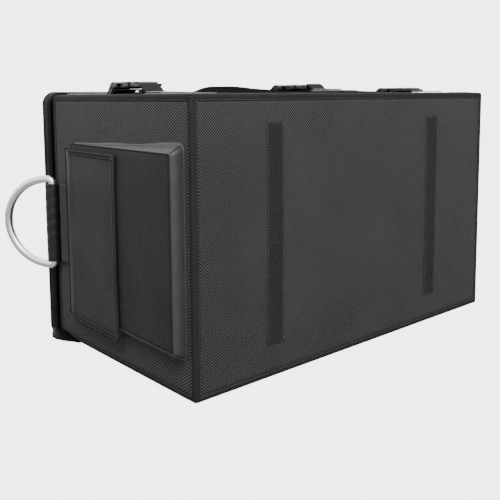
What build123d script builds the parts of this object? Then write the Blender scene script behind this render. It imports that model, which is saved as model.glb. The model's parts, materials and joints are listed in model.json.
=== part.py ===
from build123d import *
import math
import os

# A stiff-walled fabric box bag with a fold-out lid. It stands on its long back side: +Z is up, the base
# faces -Y, the lid closes the +Y side, the front wall with its straps is on top. All sizes in mm.

# ---- the box ----
LENGTH = 540.0  # end wall to end wall, along X
HEIGHT = 300.0  # base to rim, along Y
WIDTH = 320.0  # back wall to front wall, along Z
CLOTH = 1.6  # outer cloth
BOARD = 3.0  # stiffening board in each wall
LINING = 1.0  # inner cloth
BINDING = 9.0  # visible width of the edge tape on each side of an edge
RIM_LEG = 9.0  # edge tape folded over the rim
RIM_TOP = 1.0

# ---- hook-and-loop grip strips on the base ----
TAPE = 25.0
GRIP_WIDTH = 26.0
GRIP_LENGTH = 252.0
GRIP_THICK = 2.2
GRIP_X = (-156.0, 142.0)  # the two strips aren't quite evenly placed
GRIP_Z = 164.0

# ---- end pocket and its flap ----
POCKET_Y0 = -135.0
POCKET_Y1 = 90.0
POCKET_Z0 = 44.0
POCKET_Z1 = 265.0
POCKET_DEEP = 17.0  # at the base side
POCKET_SHALLOW = 6.5  # at the mouth
POCKET_SKIN = 1.4
FLAP_Y0 = -26.0
FLAP_Y1 = 91.0
FLAP_Z0 = 38.0
FLAP_Z1 = 254.0
FLAP_SKIN = 2.0
FLAP_GAP = 2.8  # pocket face to flap, filled by the hook-and-loop patches
FLAP_TRIM = 7.0
FLAP_HINGE_X = 1.3  # out from the end wall
FLAP_HINGE_Y = 114.7
PATCH_THICK = 1.1
PATCH_LENGTH = 80.0

# ---- D handles ----
ROD = 10.0
ROD_CLEARANCE = 0.4
HANDLE_OUT = 10.0  # pivot line, out from the end wall
HANDLE_Y = 139.0
HANDLE_Z = 155.5
HANDLE_SPAN = 113.0  # centre line, along Z
HANDLE_REACH = 70.0  # centre line, pivot to bow
HANDLE_CORNER = 5.5
LEFT_SWING = 29.5  # degrees out from +Y
RIGHT_SWING = 20.0
SLEEVE_D = 19.0
TAB_THICK = 1.5
TAB_WIDTH = 101.0

# ---- wide pocket on the front wall, drawn in along its middle by the closing strap ----
FRONT_HALF = 140.0
FRONT_Y0 = -130.0
FRONT_Y1 = 37.0
FRONT_DEEP = 9.0
FRONT_SIDE = 8.0  # how far the sides lean in
FRONT_SKIN = 1.2
CHANNEL_HALF = 19.0
CHANNEL_SIDE = 3.0
CHANNEL_RISE = 2.6

# ---- straps with side-release buckles ----
# name, X, Y where the halves meet, lower end, upper end, height of what it lies on, buckle above that
STRAPS = (
    ("left", -242.0, -16.0, -141.0, 139.0, 0.0, 7.0),
    ("middle", 0.0, -42.0, -126.0, 98.0, CHANNEL_RISE, 1.8),
    ("right", 242.0, -34.0, -141.0, 139.0, 0.0, 1.2),
)
WEBBING = 25.0
WEB_THICK = 1.4
BUCKLE_THICK = 8.0
HOLLOW = (1.3, 6.7)  # heights above the buckle's underside
WINDOW = (2.0, 6.0)
TONGUE = (0.6, 7.4)
PRONG = (1.8, 6.2)
BAR = (2.2, 5.8)
LOOP_GAP = 0.3
BUCKLE_WIDTH = 34.0
FEMALE_LENGTH = 40.0
MALE_LENGTH = 21.0
TAIL_LENGTH = 35.0
STEP_DOWN = 8.0  # run of webbing that steps down from a pocket to the wall

# ---- lid ----
LID_GAP = 0.4
LID_DEPTH = 20.0
LID_OVER = 4.2  # stands out past the walls
LID_SKIRT = 3.6
LID_FOOT = 0.3
LID_CORNER = 16.0
LID_FOOT_CORNER = 8.0
CLOSURE_X = 90.0
CLOSURE_Y0 = 104.0
CLOSURE_SKIN = 1.5
CLOSURE_TAPE_X = 80.0
CLOSURE_TAPE_Y = (112.0, 137.0)

# ---- worked out ----
HX = LENGTH / 2
YB = -HEIGHT / 2
YR = HEIGHT / 2
WALL = CLOTH + BOARD + LINING
LID_Y0 = YR + LID_GAP
LID_Y1 = YR + LID_DEPTH
POCKET_SLOPE = (POCKET_DEEP - POCKET_SHALLOW) / (POCKET_Y1 - POCKET_Y0)


def span(x, y, z):
    """A block between the low and high values of each axis."""
    size = Box(abs(x[1] - x[0]), abs(y[1] - y[0]), abs(z[1] - z[0]))
    return Pos(sum(x) / 2, sum(y) / 2, sum(z) / 2) * size


def prism(points, low, high):
    """A polygon in XY, standing from low to high along Z."""
    face = make_face(Polyline(*points, close=True))
    return Pos(0, 0, low) * extrude(face, amount=high - low)


def prism_x(points, low, high):
    """A polygon given as (Y, Z), running from low to high along X."""
    face = make_face(Plane.YZ * Polyline(*points, close=True))
    return Pos(low, 0, 0) * extrude(face, amount=high - low, dir=(1, 0, 0))


def save(name, shape):
    shape.label = name
    export_step(shape, f"parts/{name}.step")


# ---------------- the box: cloth, boards, lining, edge tapes ----------------
def wall_panels():
    """Outer cloth of the five walls, each cut back by the width of the edge tape."""
    x = (-HX + BINDING, HX - BINDING)
    y = (YB + BINDING, YR - RIM_LEG)
    z = (BINDING, WIDTH - BINDING)
    save("base_panel", span(x, (YB, YB + CLOTH), z))
    save("front_panel", span(x, y, (WIDTH - CLOTH, WIDTH)))
    save("back_panel", span(x, y, (0, CLOTH)))
    save("left_end_panel", span((-HX, -HX + CLOTH), y, z))
    save("right_end_panel", span((HX - CLOTH, HX), y, z))


def wall_boards():
    """Stiff boards between cloth and lining; the base board spans the whole base."""
    outer = HX - CLOTH
    inner = outer - BOARD
    y = (YB + CLOTH + BOARD, YR - RIM_TOP)
    z = (CLOTH + BOARD, WIDTH - CLOTH - BOARD)
    save("base_board", span((-outer, outer), (YB + CLOTH, YB + CLOTH + BOARD), (CLOTH, WIDTH - CLOTH)))
    save("front_board", span((-outer, outer), y, (z[1], WIDTH - CLOTH)))
    save("back_board", span((-outer, outer), y, (CLOTH, z[0])))
    save("left_end_board", span((-outer, -inner), y, z))
    save("right_end_board", span((inner, outer), y, z))


def lining():
    """Open tray of inner cloth."""
    inset = CLOTH + BOARD
    top = YR - RIM_TOP
    outer = span((-HX + inset, HX - inset), (YB + inset, top), (inset, WIDTH - inset))
    return outer - span((-HX + WALL, HX - WALL), (YB + WALL, top), (WALL, WIDTH - WALL))


def base_binding():
    """Edge tape of L section round the base."""
    outer = span((-HX, HX), (YB, YB + BINDING), (0, WIDTH))
    core = span((-HX + CLOTH, HX - CLOTH), (YB + CLOTH, YB + BINDING), (CLOTH, WIDTH - CLOTH))
    window = span((-HX + BINDING, HX - BINDING), (YB, YB + CLOTH), (BINDING, WIDTH - BINDING))
    return outer - core - window


def corner_binding(side, front):
    """Edge tape of L section along one edge from base to rim."""
    y = (YB + BINDING, YR - RIM_LEG)
    z = (WIDTH - BINDING, WIDTH) if front else (0, BINDING)
    core_z = (WIDTH - BINDING, WIDTH - CLOTH) if front else (CLOTH, BINDING)
    outer = span((side * (HX - BINDING), side * HX), y, z)
    return outer - span((side * (HX - BINDING), side * (HX - CLOTH)), y, core_z)


def rim_binding():
    """Edge tape folded over the rim, inside and out."""
    inset = WALL + RIM_TOP
    y = (YR - RIM_LEG, YR)
    outer = span((-HX, HX), y, (0, WIDTH))
    mouth = span((-HX + inset, HX - inset), y, (inset, WIDTH - inset))
    y_fold = (YR - RIM_LEG, YR - RIM_TOP)
    channel = span((-HX + CLOTH, HX - CLOTH), y_fold, (CLOTH, WIDTH - CLOTH))
    channel -= span((-HX + WALL, HX - WALL), y_fold, (WALL, WIDTH - WALL))
    return outer - mouth - channel


def grip_strip(side):
    """Hook-and-loop strip sewn across the base."""
    middle = GRIP_X[(side + 1) // 2]
    x = (middle - GRIP_WIDTH / 2, middle + GRIP_WIDTH / 2)
    z = (GRIP_Z - GRIP_LENGTH / 2, GRIP_Z + GRIP_LENGTH / 2)
    return span(x, (YB - GRIP_THICK, YB), z)


# ---------------- end pocket ----------------
def pocket_x(y):
    """X of the pocket's outer face, deeper toward the base."""
    return -HX - POCKET_DEEP + (y - POCKET_Y0) * POCKET_SLOPE


def on_pocket(y, z, near, far):
    """A slab that follows the pocket's face, from near to far out of it."""
    points = (
        (pocket_x(y[0]) - near, y[0]),
        (pocket_x(y[0]) - far, y[0]),
        (pocket_x(y[1]) - far, y[1]),
        (pocket_x(y[1]) - near, y[1]),
    )
    return prism(points, *z)


def pocket_face():
    return on_pocket((POCKET_Y0, POCKET_Y1), (POCKET_Z0, POCKET_Z1), -POCKET_SKIN, 0)


def pocket_gusset():
    """Three-sided strip that joins the pocket's face to the wall, open at the mouth."""
    points = (
        (-HX, POCKET_Y0),
        (pocket_x(POCKET_Y0) + POCKET_SKIN, POCKET_Y0),
        (pocket_x(POCKET_Y1) + POCKET_SKIN, POCKET_Y1),
        (-HX, POCKET_Y1),
    )
    y = (POCKET_Y0 + POCKET_SKIN, POCKET_Y1)
    z = (POCKET_Z0 + POCKET_SKIN, POCKET_Z1 - POCKET_SKIN)
    return prism(points, POCKET_Z0, POCKET_Z1) - span((-HX - POCKET_DEEP, -HX), y, z)


def flap_root():
    """The flap's upper band, from the sewn hinge line out over the mouth."""
    x = pocket_x(FLAP_Y1) - FLAP_GAP
    hinge = Vector(-HX - FLAP_HINGE_X, FLAP_HINGE_Y, 0)
    half = FLAP_SKIN / 2
    along = (hinge - Vector(x - half, FLAP_Y1, 0)).normalized()
    side = Vector(along.Y, -along.X, 0) * half
    band = prism(
        (
            (x, FLAP_Y1),
            (x - FLAP_SKIN, FLAP_Y1),
            (hinge.X - side.X, hinge.Y - side.Y),
            (hinge.X + side.X, hinge.Y + side.Y),
        ),
        FLAP_Z0,
        FLAP_Z1,
    )
    roll = Pos(hinge.X, hinge.Y, (FLAP_Z0 + FLAP_Z1) / 2) * Cylinder(half, FLAP_Z1 - FLAP_Z0)
    return band + roll


def flap():
    y = (FLAP_Y0 + FLAP_TRIM, FLAP_Y1)
    z = (FLAP_Z0 + FLAP_TRIM, FLAP_Z1 - FLAP_TRIM)
    return on_pocket(y, z, FLAP_GAP, FLAP_GAP + FLAP_SKIN) + flap_root()


def flap_binding():
    """Edge tape on the flap's three free edges."""
    far = FLAP_GAP + FLAP_SKIN
    whole = on_pocket((FLAP_Y0, FLAP_Y1), (FLAP_Z0, FLAP_Z1), FLAP_GAP, far)
    z = (FLAP_Z0 + FLAP_TRIM, FLAP_Z1 - FLAP_TRIM)
    return whole - on_pocket((FLAP_Y0 + FLAP_TRIM, FLAP_Y1), z, FLAP_GAP - 1, far + 1)


def patch(near, far):
    y = (FLAP_Y0 + FLAP_TRIM, FLAP_Y0 + FLAP_TRIM + TAPE)
    middle = (FLAP_Z0 + FLAP_Z1) / 2
    return on_pocket(y, (middle - PATCH_LENGTH / 2, middle + PATCH_LENGTH / 2), near, far)


# ---------------- D handles ----------------
def d_handle(swing):
    """Round rod bent to a closed D: a straight side in the sleeve, tight corners and a bow."""
    half = HANDLE_SPAN / 2
    straight = half - HANDLE_CORNER
    knee = HANDLE_CORNER * (1 - math.sqrt(0.5))
    bow = EllipticalCenterArc((HANDLE_CORNER, 0), HANDLE_REACH - HANDLE_CORNER, half, -90, arc_size=180)
    plan = [
        Line((0, 0), (0, -straight)),
        ThreePointArc((0, -straight), (knee, -half + knee), (HANDLE_CORNER, -half)),
        bow,
        ThreePointArc((HANDLE_CORNER, half), (knee, half - knee), (0, straight)),
        Line((0, straight), (0, 0)),
    ]
    path = Wire([Plane.YZ * edge for edge in plan])
    rod = sweep(Plane.XY * Circle(ROD / 2), path=path)
    return Pos(-HX - HANDLE_OUT, HANDLE_Y, HANDLE_Z) * Rot(0, 0, swing) * rod


def handle_sleeve():
    """Padded tube round the handle's straight side, with a foot sewn to the tab."""
    length = HANDLE_SPAN - 2 * HANDLE_CORNER
    at = Pos(-HX - HANDLE_OUT, HANDLE_Y, HANDLE_Z)
    z = (HANDLE_Z - length / 2, HANDLE_Z + length / 2)
    foot_x = (-HX - TAB_THICK - 2.5, -HX - TAB_THICK)
    tube = at * Cylinder(SLEEVE_D / 2, length) + span(foot_x, (HANDLE_Y - 20, HANDLE_Y), z)
    tube -= at * Cylinder(ROD / 2 + ROD_CLEARANCE, length + 2)
    return tube - span((-HX - TAB_THICK, -HX + 1), (HANDLE_Y - 30, HANDLE_Y + 30), (z[0] - 1, z[1] + 1))


def handle_tab():
    z = (HANDLE_Z - TAB_WIDTH / 2, HANDLE_Z + TAB_WIDTH / 2)
    return span((-HX - TAB_THICK, -HX), (HANDLE_Y - 21.5, HANDLE_Y + 1), z)


# ---------------- front wall ----------------
def pocket_outline(skin):
    """Half-round pair of lobes in (X, Z) with a channel between them, drawn in by the skin."""
    half = FRONT_HALF - skin
    top = WIDTH + FRONT_DEEP - skin
    low = WIDTH + CHANNEL_RISE - skin
    lobe = (
        (half, WIDTH),
        (half - FRONT_SIDE, top),
        (CHANNEL_HALF + CHANNEL_SIDE + skin, top),
        (CHANNEL_HALF + skin, low),
    )
    return lobe + tuple((-x, z) for x, z in reversed(lobe))


def prism_y(points, low, high):
    """A polygon given as (X, Z), running from low to high along Y."""
    face = make_face(Plane.XZ * Polyline(*points, close=True))
    return Pos(0, low, 0) * extrude(face, amount=high - low, dir=(0, 1, 0))


def front_pocket():
    """Two-lobed pocket, closed at the base side and open toward the rim."""
    shell = prism_y(pocket_outline(0), FRONT_Y0, FRONT_Y1)
    return shell - prism_y(pocket_outline(FRONT_SKIN), FRONT_Y0 + FRONT_SKIN, FRONT_Y1)


def web_loop(y, out, z):
    """Ring of webbing round a buckle bar, and the Y of its outer side."""
    bar = sorted((y, y + 4 * out))
    inner = (bar[0] - LOOP_GAP, bar[1] + LOOP_GAP)
    outer = (inner[0] - WEB_THICK, inner[1] + WEB_THICK)
    low = z + BAR[0] - LOOP_GAP
    high = z + BAR[1] + LOOP_GAP
    x = (-WEBBING / 2, WEBBING / 2)
    ring = span(x, outer, (low - WEB_THICK, high + WEB_THICK)) - span(x, inner, (low, high))
    return ring, outer[(out + 1) // 2]


def upper_webbing(y, end, base, z):
    """Webbing sewn down near the rim, looped through the socket half."""
    loop, start = web_loop(y + FEMALE_LENGTH - 4, 1, z)
    top = z + BAR[0] - LOOP_GAP
    level = WIDTH + base
    edge = FRONT_Y1 + 1
    ramp = (
        (start - 1, top - WEB_THICK),
        (start - 1, top),
        (start, top),
        (start + 10, level + WEB_THICK),
        (edge, level + WEB_THICK),
        (edge + STEP_DOWN, WIDTH + WEB_THICK),
        (end, WIDTH + WEB_THICK),
        (end, WIDTH),
        (edge + STEP_DOWN, WIDTH),
        (edge, level),
        (start + 10, level),
    )
    if base == 0:
        ramp = ramp[:4] + ramp[6:8] + ramp[10:]
    return loop + prism_x(ramp, -WEBBING / 2, WEBBING / 2)


def tail_webbing(y, base, z):
    """Adjusting end looped through the tongue half, lying over the lower webbing."""
    loop, start = web_loop(y - MALE_LENGTH + 4, -1, z)
    top = z + BAR[0] - LOOP_GAP
    low = WIDTH + base + WEB_THICK + 0.4
    ramp = (
        (start + 1, top - WEB_THICK),
        (start + 1, top),
        (start, top),
        (start - 8, low + WEB_THICK),
        (start - TAIL_LENGTH, low + WEB_THICK),
        (start - TAIL_LENGTH, low),
        (start - 8, low),
    )
    return loop + prism_x(ramp, -WEBBING / 2, WEBBING / 2)


def lower_webbing(y, start, base):
    x = (-WEBBING / 2, WEBBING / 2)
    level = WIDTH + base
    return span(x, (start, y - MALE_LENGTH - 6), (level, level + WEB_THICK))


def raised(levels, z):
    return (z + levels[0], z + levels[1])


def socket_half(y, z):
    """Hollow half of the buckle with side windows and a webbing bar."""
    half = BUCKLE_WIDTH / 2
    body_end = y + FEMALE_LENGTH - 9
    body = span((-half, half), (y, body_end), (z, z + BUCKLE_THICK))
    body = fillet(body.edges().filter_by(Axis.Y), 3)
    frame = span((-half + 1, half - 1), (body_end, y + FEMALE_LENGTH), raised(BAR, z))
    frame -= span((-13, 13), (body_end, y + FEMALE_LENGTH - 4), (z, z + BUCKLE_THICK))
    hollow = span((-14.2, 14.2), (y, y + 29), raised(HOLLOW, z))
    window = span((-half - 1, half + 1), (y + 9, y + 24), raised(WINDOW, z))
    return body + frame - hollow - window


def tongue_half(y, z):
    """Solid half of the buckle: a block with a webbing bar, a guide rail and two side arms."""
    half = BUCKLE_WIDTH / 2 - 1.5
    start = y - 0.3
    back = y - MALE_LENGTH
    block = span((-half, half), (back + 9, start), raised(TONGUE, z))
    block = fillet(block.edges().filter_by(Axis.Y), 2.5)
    frame = span((-half, half), (back, back + 9), raised(BAR, z))
    slot = span((-13, 13), (back + 4, back + 9), (z, z + BUCKLE_THICK))
    rail = span((-2, 2), (start, y + 26), raised(PRONG, z))
    arms = [span((side * 9, side * 13.6), (start, y + 22), raised(PRONG, z)) for side in (-1, 1)]
    return block + (frame - slot) + rail + arms[0] + arms[1]


# ---------------- lid ----------------
def lid_block(y, inset):
    """Plate in the lid's outline, drawn in from its edge by inset."""
    half = HX + LID_OVER - inset
    plate = span((-half, half), y, (LID_FOOT + inset, WIDTH + LID_OVER - inset))
    rows = plate.edges().filter_by(Axis.Y).group_by(Axis.Z)
    plate = fillet(rows[-1], LID_CORNER - inset)
    return fillet(plate.edges().filter_by(Axis.Y).group_by(Axis.Z)[0], LID_FOOT_CORNER - inset)


def lid_skirt():
    """Side band of the lid on three sides; the fourth side is the hinge."""
    y = (LID_Y0, LID_Y1 - CLOTH)
    foot = span((-HX - 10, HX + 10), (YR - 1, LID_Y1), (-1, LID_FOOT + LID_FOOT_CORNER))
    return lid_block(y, 0) - lid_block(y, LID_SKIRT) - foot


def hinge_band():
    """Cloth band from the back wall's rim to the lid's fold line."""
    return span((-HX + 2, HX - 2), (YR, LID_Y1 - CLOTH - 0.4), (0, CLOTH))


def closure_flap():
    top = WIDTH + LID_OVER
    return span((-CLOSURE_X, CLOSURE_X), (CLOSURE_Y0, LID_Y0), (top - CLOSURE_SKIN, top))


def closure_tape(low, high):
    return span((-CLOSURE_TAPE_X, CLOSURE_TAPE_X), CLOSURE_TAPE_Y, (WIDTH + low, WIDTH + high))


# ---------------- writing the parts ----------------
def write_box():
    wall_panels()
    wall_boards()
    save("lining", lining())
    save("base_binding", base_binding())
    for side, word in ((-1, "left"), (1, "right")):
        save(f"{word}_front_edge_binding", corner_binding(side, True))
        save(f"{word}_back_edge_binding", corner_binding(side, False))
        save(f"{word}_grip_strip", grip_strip(side))
    save("rim_binding", rim_binding())
    save("front_pocket", front_pocket())


def write_end_pocket():
    save("end_pocket_face", pocket_face())
    save("end_pocket_gusset", pocket_gusset())
    save("end_pocket_loop_patch", patch(0, PATCH_THICK))
    save("end_flap", flap())
    save("end_flap_binding", flap_binding())
    save("end_flap_hook_patch", patch(FLAP_GAP - PATCH_THICK, FLAP_GAP))


def write_handles():
    save("left_handle_tab", handle_tab())
    save("left_handle_sleeve", handle_sleeve())
    save("left_handle", d_handle(LEFT_SWING))
    save("right_handle_tab", mirror(handle_tab(), about=Plane.YZ))
    save("right_handle_sleeve", mirror(handle_sleeve(), about=Plane.YZ))
    save("right_handle", mirror(d_handle(RIGHT_SWING), about=Plane.YZ))


def write_straps():
    for word, x, y, start, end, base, lift in STRAPS:
        at = Pos(x, 0, 0)
        z = WIDTH + base + lift
        save(f"{word}_strap_lower", at * lower_webbing(y, start, base))
        save(f"{word}_strap_upper", at * upper_webbing(y, end, base, z))
        save(f"{word}_strap_tail", at * tail_webbing(y, base, z))
        save(f"{word}_buckle_socket", at * socket_half(y, z))
        save(f"{word}_buckle_tongue", at * tongue_half(y, z))


def write_lid():
    inner = LID_Y1 - CLOTH
    save("hinge_band", hinge_band())
    save("lid_cover", lid_block((inner, LID_Y1), 0))
    save("lid_board", lid_block((inner - BOARD, inner), LID_SKIRT))
    save("lid_lining", lid_block((inner - BOARD - LINING, inner - BOARD), LID_SKIRT))
    save("lid_skirt", lid_skirt())
    save("lid_closure_flap", closure_flap())
    save("lid_hook_tape", closure_tape(LID_OVER - CLOSURE_SKIN - PATCH_THICK, LID_OVER - CLOSURE_SKIN))
    save("front_loop_tape", closure_tape(0, 1.3))


os.makedirs("parts", exist_ok=True)
write_box()
write_end_pocket()
write_handles()
write_straps()
write_lid()
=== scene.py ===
# %% [markdown]
# A stiff-walled fabric box bag with a fold-out lid, standing on its long back side.
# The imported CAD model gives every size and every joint. This script dresses it: cloth, edge tape,
# stitching, leather, aluminium, webbing and moulded buckles, each piece as its own surface.
# Shapes are worked out in millimetres with numpy and put into Blender in metres.

# %% Load the frame
import json
import math
import bpy
import numpy as np
from mathutils import Matrix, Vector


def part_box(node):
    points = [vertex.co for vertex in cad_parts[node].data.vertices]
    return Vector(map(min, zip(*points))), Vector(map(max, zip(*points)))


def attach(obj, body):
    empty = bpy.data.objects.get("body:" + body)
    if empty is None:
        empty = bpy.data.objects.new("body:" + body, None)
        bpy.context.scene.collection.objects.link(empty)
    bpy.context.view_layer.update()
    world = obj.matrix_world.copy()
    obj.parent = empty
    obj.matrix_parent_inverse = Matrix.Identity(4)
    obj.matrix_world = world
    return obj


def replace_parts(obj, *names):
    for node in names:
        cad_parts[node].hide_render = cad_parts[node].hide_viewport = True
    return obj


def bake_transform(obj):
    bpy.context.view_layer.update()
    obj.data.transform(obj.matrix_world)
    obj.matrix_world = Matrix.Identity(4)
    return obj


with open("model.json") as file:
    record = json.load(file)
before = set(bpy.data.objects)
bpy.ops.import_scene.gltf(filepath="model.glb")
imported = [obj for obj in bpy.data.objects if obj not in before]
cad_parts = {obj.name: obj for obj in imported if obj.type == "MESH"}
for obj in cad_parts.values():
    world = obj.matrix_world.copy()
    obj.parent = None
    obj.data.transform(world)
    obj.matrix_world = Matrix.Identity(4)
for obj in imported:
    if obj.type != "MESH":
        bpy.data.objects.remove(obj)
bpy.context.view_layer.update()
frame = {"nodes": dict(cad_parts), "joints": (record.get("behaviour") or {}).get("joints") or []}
MM = 0.001
rng = np.random.default_rng(7)


def extent(node):
    """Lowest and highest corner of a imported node, in millimetres."""
    low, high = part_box(node)
    return np.array(low) / MM, np.array(high) / MM


HX = extent("base_binding")[1][0]
YB = extent("base_binding")[0][1]
YR = extent("rim_binding")[1][1]
WIDTH = extent("base_binding")[1][2]
TAPE = extent("base_binding")[1][1] - YB
print("box", HX, YB, YR, WIDTH, "edge tape", TAPE)

# %% [markdown]
# The camera stands a little above the middle of the bag, off its base corner, so that the end with
# the pocket and the base share the view. Its place was solved from the box's corners. The lens is
# shifted a little, so that the bag sits in the frame without tipping its upright edges.

# %% Camera
AZIMUTH, PITCH, ROLL = (math.radians(a) for a in (41.574, 6.364, -0.366))
EYE = (-0.69413, -0.71521, 0.31772)
SENSOR_MM, LENS_MM, SHIFT = 36, 50.987, -0.15
ahead = np.array((math.sin(AZIMUTH) * math.cos(PITCH), math.cos(AZIMUTH) * math.cos(PITCH), -math.sin(PITCH)))
level = np.array((math.cos(AZIMUTH), -math.sin(AZIMUTH), 0.0))
upward = np.cross(level, ahead)
camera_x = math.cos(ROLL) * level + math.sin(ROLL) * upward
camera_y = math.cos(ROLL) * upward - math.sin(ROLL) * level
camera = bpy.data.objects.new("camera", bpy.data.cameras.new("camera"))
bpy.context.scene.collection.objects.link(camera)
camera.matrix_world = Matrix(
    [[*row, place] for row, place in zip(np.stack((camera_x, camera_y, -ahead), 1), EYE)] + [[0, 0, 0, 1]]
)
camera.data.sensor_width = SENSOR_MM
camera.data.lens = LENS_MM
camera.data.shift_y = SHIFT
camera.data.clip_start = 0.02
bpy.context.scene.camera = camera
print("camera at", EYE, "with a lens of", LENS_MM, "mm")

# %% [markdown]
# Every finish is a node tree on the Principled shader. Two helpers keep the trees readable: one
# turns a hex colour into the linear values that the shader wants, and one adds any node.

# %% Helpers for materials
def linear(hex_colour, alpha=1.0):
    """sRGB hex to linear: each channel c becomes c/12.92 when dark, else ((c+0.055)/1.055)^2.4."""
    c = np.array([int(hex_colour[i : i + 2], 16) for i in (1, 3, 5)]) / 255
    c = np.where(c <= 0.04045, c / 12.92, ((c + 0.055) / 1.055) ** 2.4)
    return (*c, alpha)


def add(tree, kind, inputs=None, **settings):
    """Adds a node, sets its properties, then fills each input with a value or a link to another node."""
    new = tree.nodes.new("ShaderNode" + kind)
    for name, value in settings.items():
        setattr(new, name, value)
    for key, value in (inputs or {}).items():
        if isinstance(value, bpy.types.Node):
            value = value.outputs[0]
        if isinstance(value, bpy.types.NodeSocket):
            tree.links.new(value, new.inputs[key])
        else:
            new.inputs[key].default_value = value
    return new


def finish(name, roughness, **sockets):
    """A new material with a bare Principled shader; sockets are named in lower case with underscores."""
    material = bpy.data.materials.new(name)
    material.use_nodes = True
    tree = material.node_tree
    shader = tree.nodes["Principled BSDF"]
    shader.inputs["Roughness"].default_value = roughness
    for key, value in sockets.items():
        shader.inputs[key.replace("_", " ").title().replace("Ior", "IOR")].default_value = value
    return material, tree, shader


def lattice(tree, period_u, period_v):
    """sin(2 pi u / period_u) times sin(2 pi v / period_v) on the cloth's own map: +1 where one yarn is on
    top, -1 where the other is. The map is in metres."""
    place = add(tree, "SeparateXYZ", {0: add(tree, "UVMap", uv_map="cloth")})
    waves = []
    for axis, period in ((0, period_u), (1, period_v)):
        turn = add(tree, "Math", {0: place.outputs[axis], 1: 2 * math.pi / (period * MM)}, operation="MULTIPLY")
        waves.append(add(tree, "Math", {0: turn}, operation="SINE"))
    return waves, add(tree, "Math", {0: waves[0], 1: waves[1]}, operation="MULTIPLY")


def cloudy(tree, size_mm, detail=3.0):
    """Soft noise in object space whose blotches are about size_mm across."""
    place = add(tree, "TexCoord").outputs["Object"]
    looks = {"Vector": place, "Scale": 1 / (size_mm * MM), "Detail": detail, "Roughness": 0.6}
    return add(tree, "TexNoise", looks)


def spread(tree, value, low, high, to_low=0.0, to_high=1.0):
    """Maps low..high to to_low..to_high, held at the ends."""
    return add(tree, "MapRange", {0: value, 1: low, 2: high, 3: to_low, 4: to_high})


def between(tree, factor, dark, light):
    """A colour between two others; dark and light are hex strings or nodes."""
    pick = [linear(c) if isinstance(c, str) else c for c in (dark, light)]
    mixer = add(tree, "Mix", {0: factor}, data_type="RGBA")
    for socket, value in zip((mixer.inputs[6], mixer.inputs[7]), pick):
        if isinstance(value, tuple):
            socket.default_value = value
        else:
            tree.links.new(value, socket)
    return mixer.outputs[2]


def bump(tree, shader, height, depth_mm, strength=1.0):
    """Height pattern to shading normal, with its real depth."""
    made = add(tree, "Bump", {"Height": height, "Distance": depth_mm * MM, "Strength": strength})
    tree.links.new(made.outputs[0], shader.inputs["Normal"])


# %% [markdown]
# The walls are Oxford cloth: thick polyester yarns in a basket weave, coated on the back. Its yarns
# are about 0.8 mm wide, so one repeat is 1.7 mm; that is finer than this view can show, so the repeat
# is drawn twice as coarse. Polyester has a soft sheen at grazing angles and is a little cloudy all over.

# %% Cloth finishes
REPEAT = 3.4  # of the basket weave, in millimetres: drawn twice as coarse as the real cloth's


def woven(name, gap, yarn, period, depth, roughness, sheen, blotch=90.0, gloss=0.12, haze=0.05, stretch=1.0):
    """Basket weave: the colour runs from gap to yarn over the lattice, and the bump follows it. stretch
    makes the repeat longer along the map's first direction."""
    material, tree, shader = finish(
        name, roughness, sheen_weight=sheen, sheen_roughness=0.45, specular_ior_level=gloss
    )
    _, cross = lattice(tree, period * stretch, period)
    crowns = spread(tree, cross, -0.35, 0.65)
    pattern = between(tree, crowns, gap, yarn)
    worn = between(tree, spread(tree, cloudy(tree, blotch), 0.35, 0.75, 0.0, haze), pattern, "#77787a")
    tree.links.new(worn, shader.inputs["Base Color"])
    fuzz = spread(tree, cloudy(tree, 1.6, 1.0), 0.3, 0.7, 0.0, 0.35)
    bump(tree, shader, add(tree, "Math", {0: fuzz, 1: crowns}, operation="ADD"), depth)
    return material


oxford = woven("oxford_polyester_basket_weave", "#040404", "#4f4f50", REPEAT, 0.5, 0.62, 0.05)
# on the end walls the repeat is drawn half as long again, because this view foreshortens them
end_oxford = woven(
    "oxford_polyester_end_wall_weave", "#030303", "#505051", REPEAT, 0.5, 0.62, 0.05, stretch=1.5
)
# the front wall lies flat under the studio's top light, so the same cloth is held darker and duller there
front_oxford = woven(
    "oxford_polyester_front_wall_weave", "#020202", "#2c2c2d", REPEAT, 0.5, 0.75, 0.0, gloss=0.0, haze=0.03
)
pocket_weave = woven(
    "oxford_polyester_pocket_weave", "#030303", "#2a2a2b", REPEAT, 0.35, 0.62, 0.05, stretch=1.35
)
smooth_cloth = woven("coated_polyester_taffeta", "#262627", "#363637", 1.6, 0.08, 0.42, 0.08, 60.0, 0.3)
flap_cloth = woven(
    "brushed_polyester_flap", "#101011", "#2d2d2e", 3.2, 0.14, 0.56, 0.05, 50.0, 0.12, 0.06, stretch=1.2
)
lid_cloth = woven("black_polyester_skirt", "#010101", "#030303", 1.6, 0.10, 0.42, 0.01, 60.0, 0.06, 0.01)
# the gusset is the smooth coated cloth drawn a tone lighter than the taffeta: the extra lightness is a painted
# highlight on its rolled strip
gusset_cloth_painted_highlight = woven("coated_polyester_gusset_painted_highlight", "#2d2d2e", "#3f3f40", 1.6, 0.08, 0.40, 0.10, 60.0, 0.3)
lining_cloth = woven("nylon_lining_ripstop", "#0d0d0e", "#1d1e20", 4.2, 0.12, 0.50, 0.06, 70.0, 0.2)
tab_cloth = woven("oxford_polyester_tab", "#242425", "#48484a", 2.4, 0.18, 0.60, 0.08, 30.0)
webbing = woven("light_grey_polypropylene_webbing", "#6b6d70", "#a9abad", 2.4, 0.35, 0.45, 0.10, 30.0, 0.3)


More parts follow.
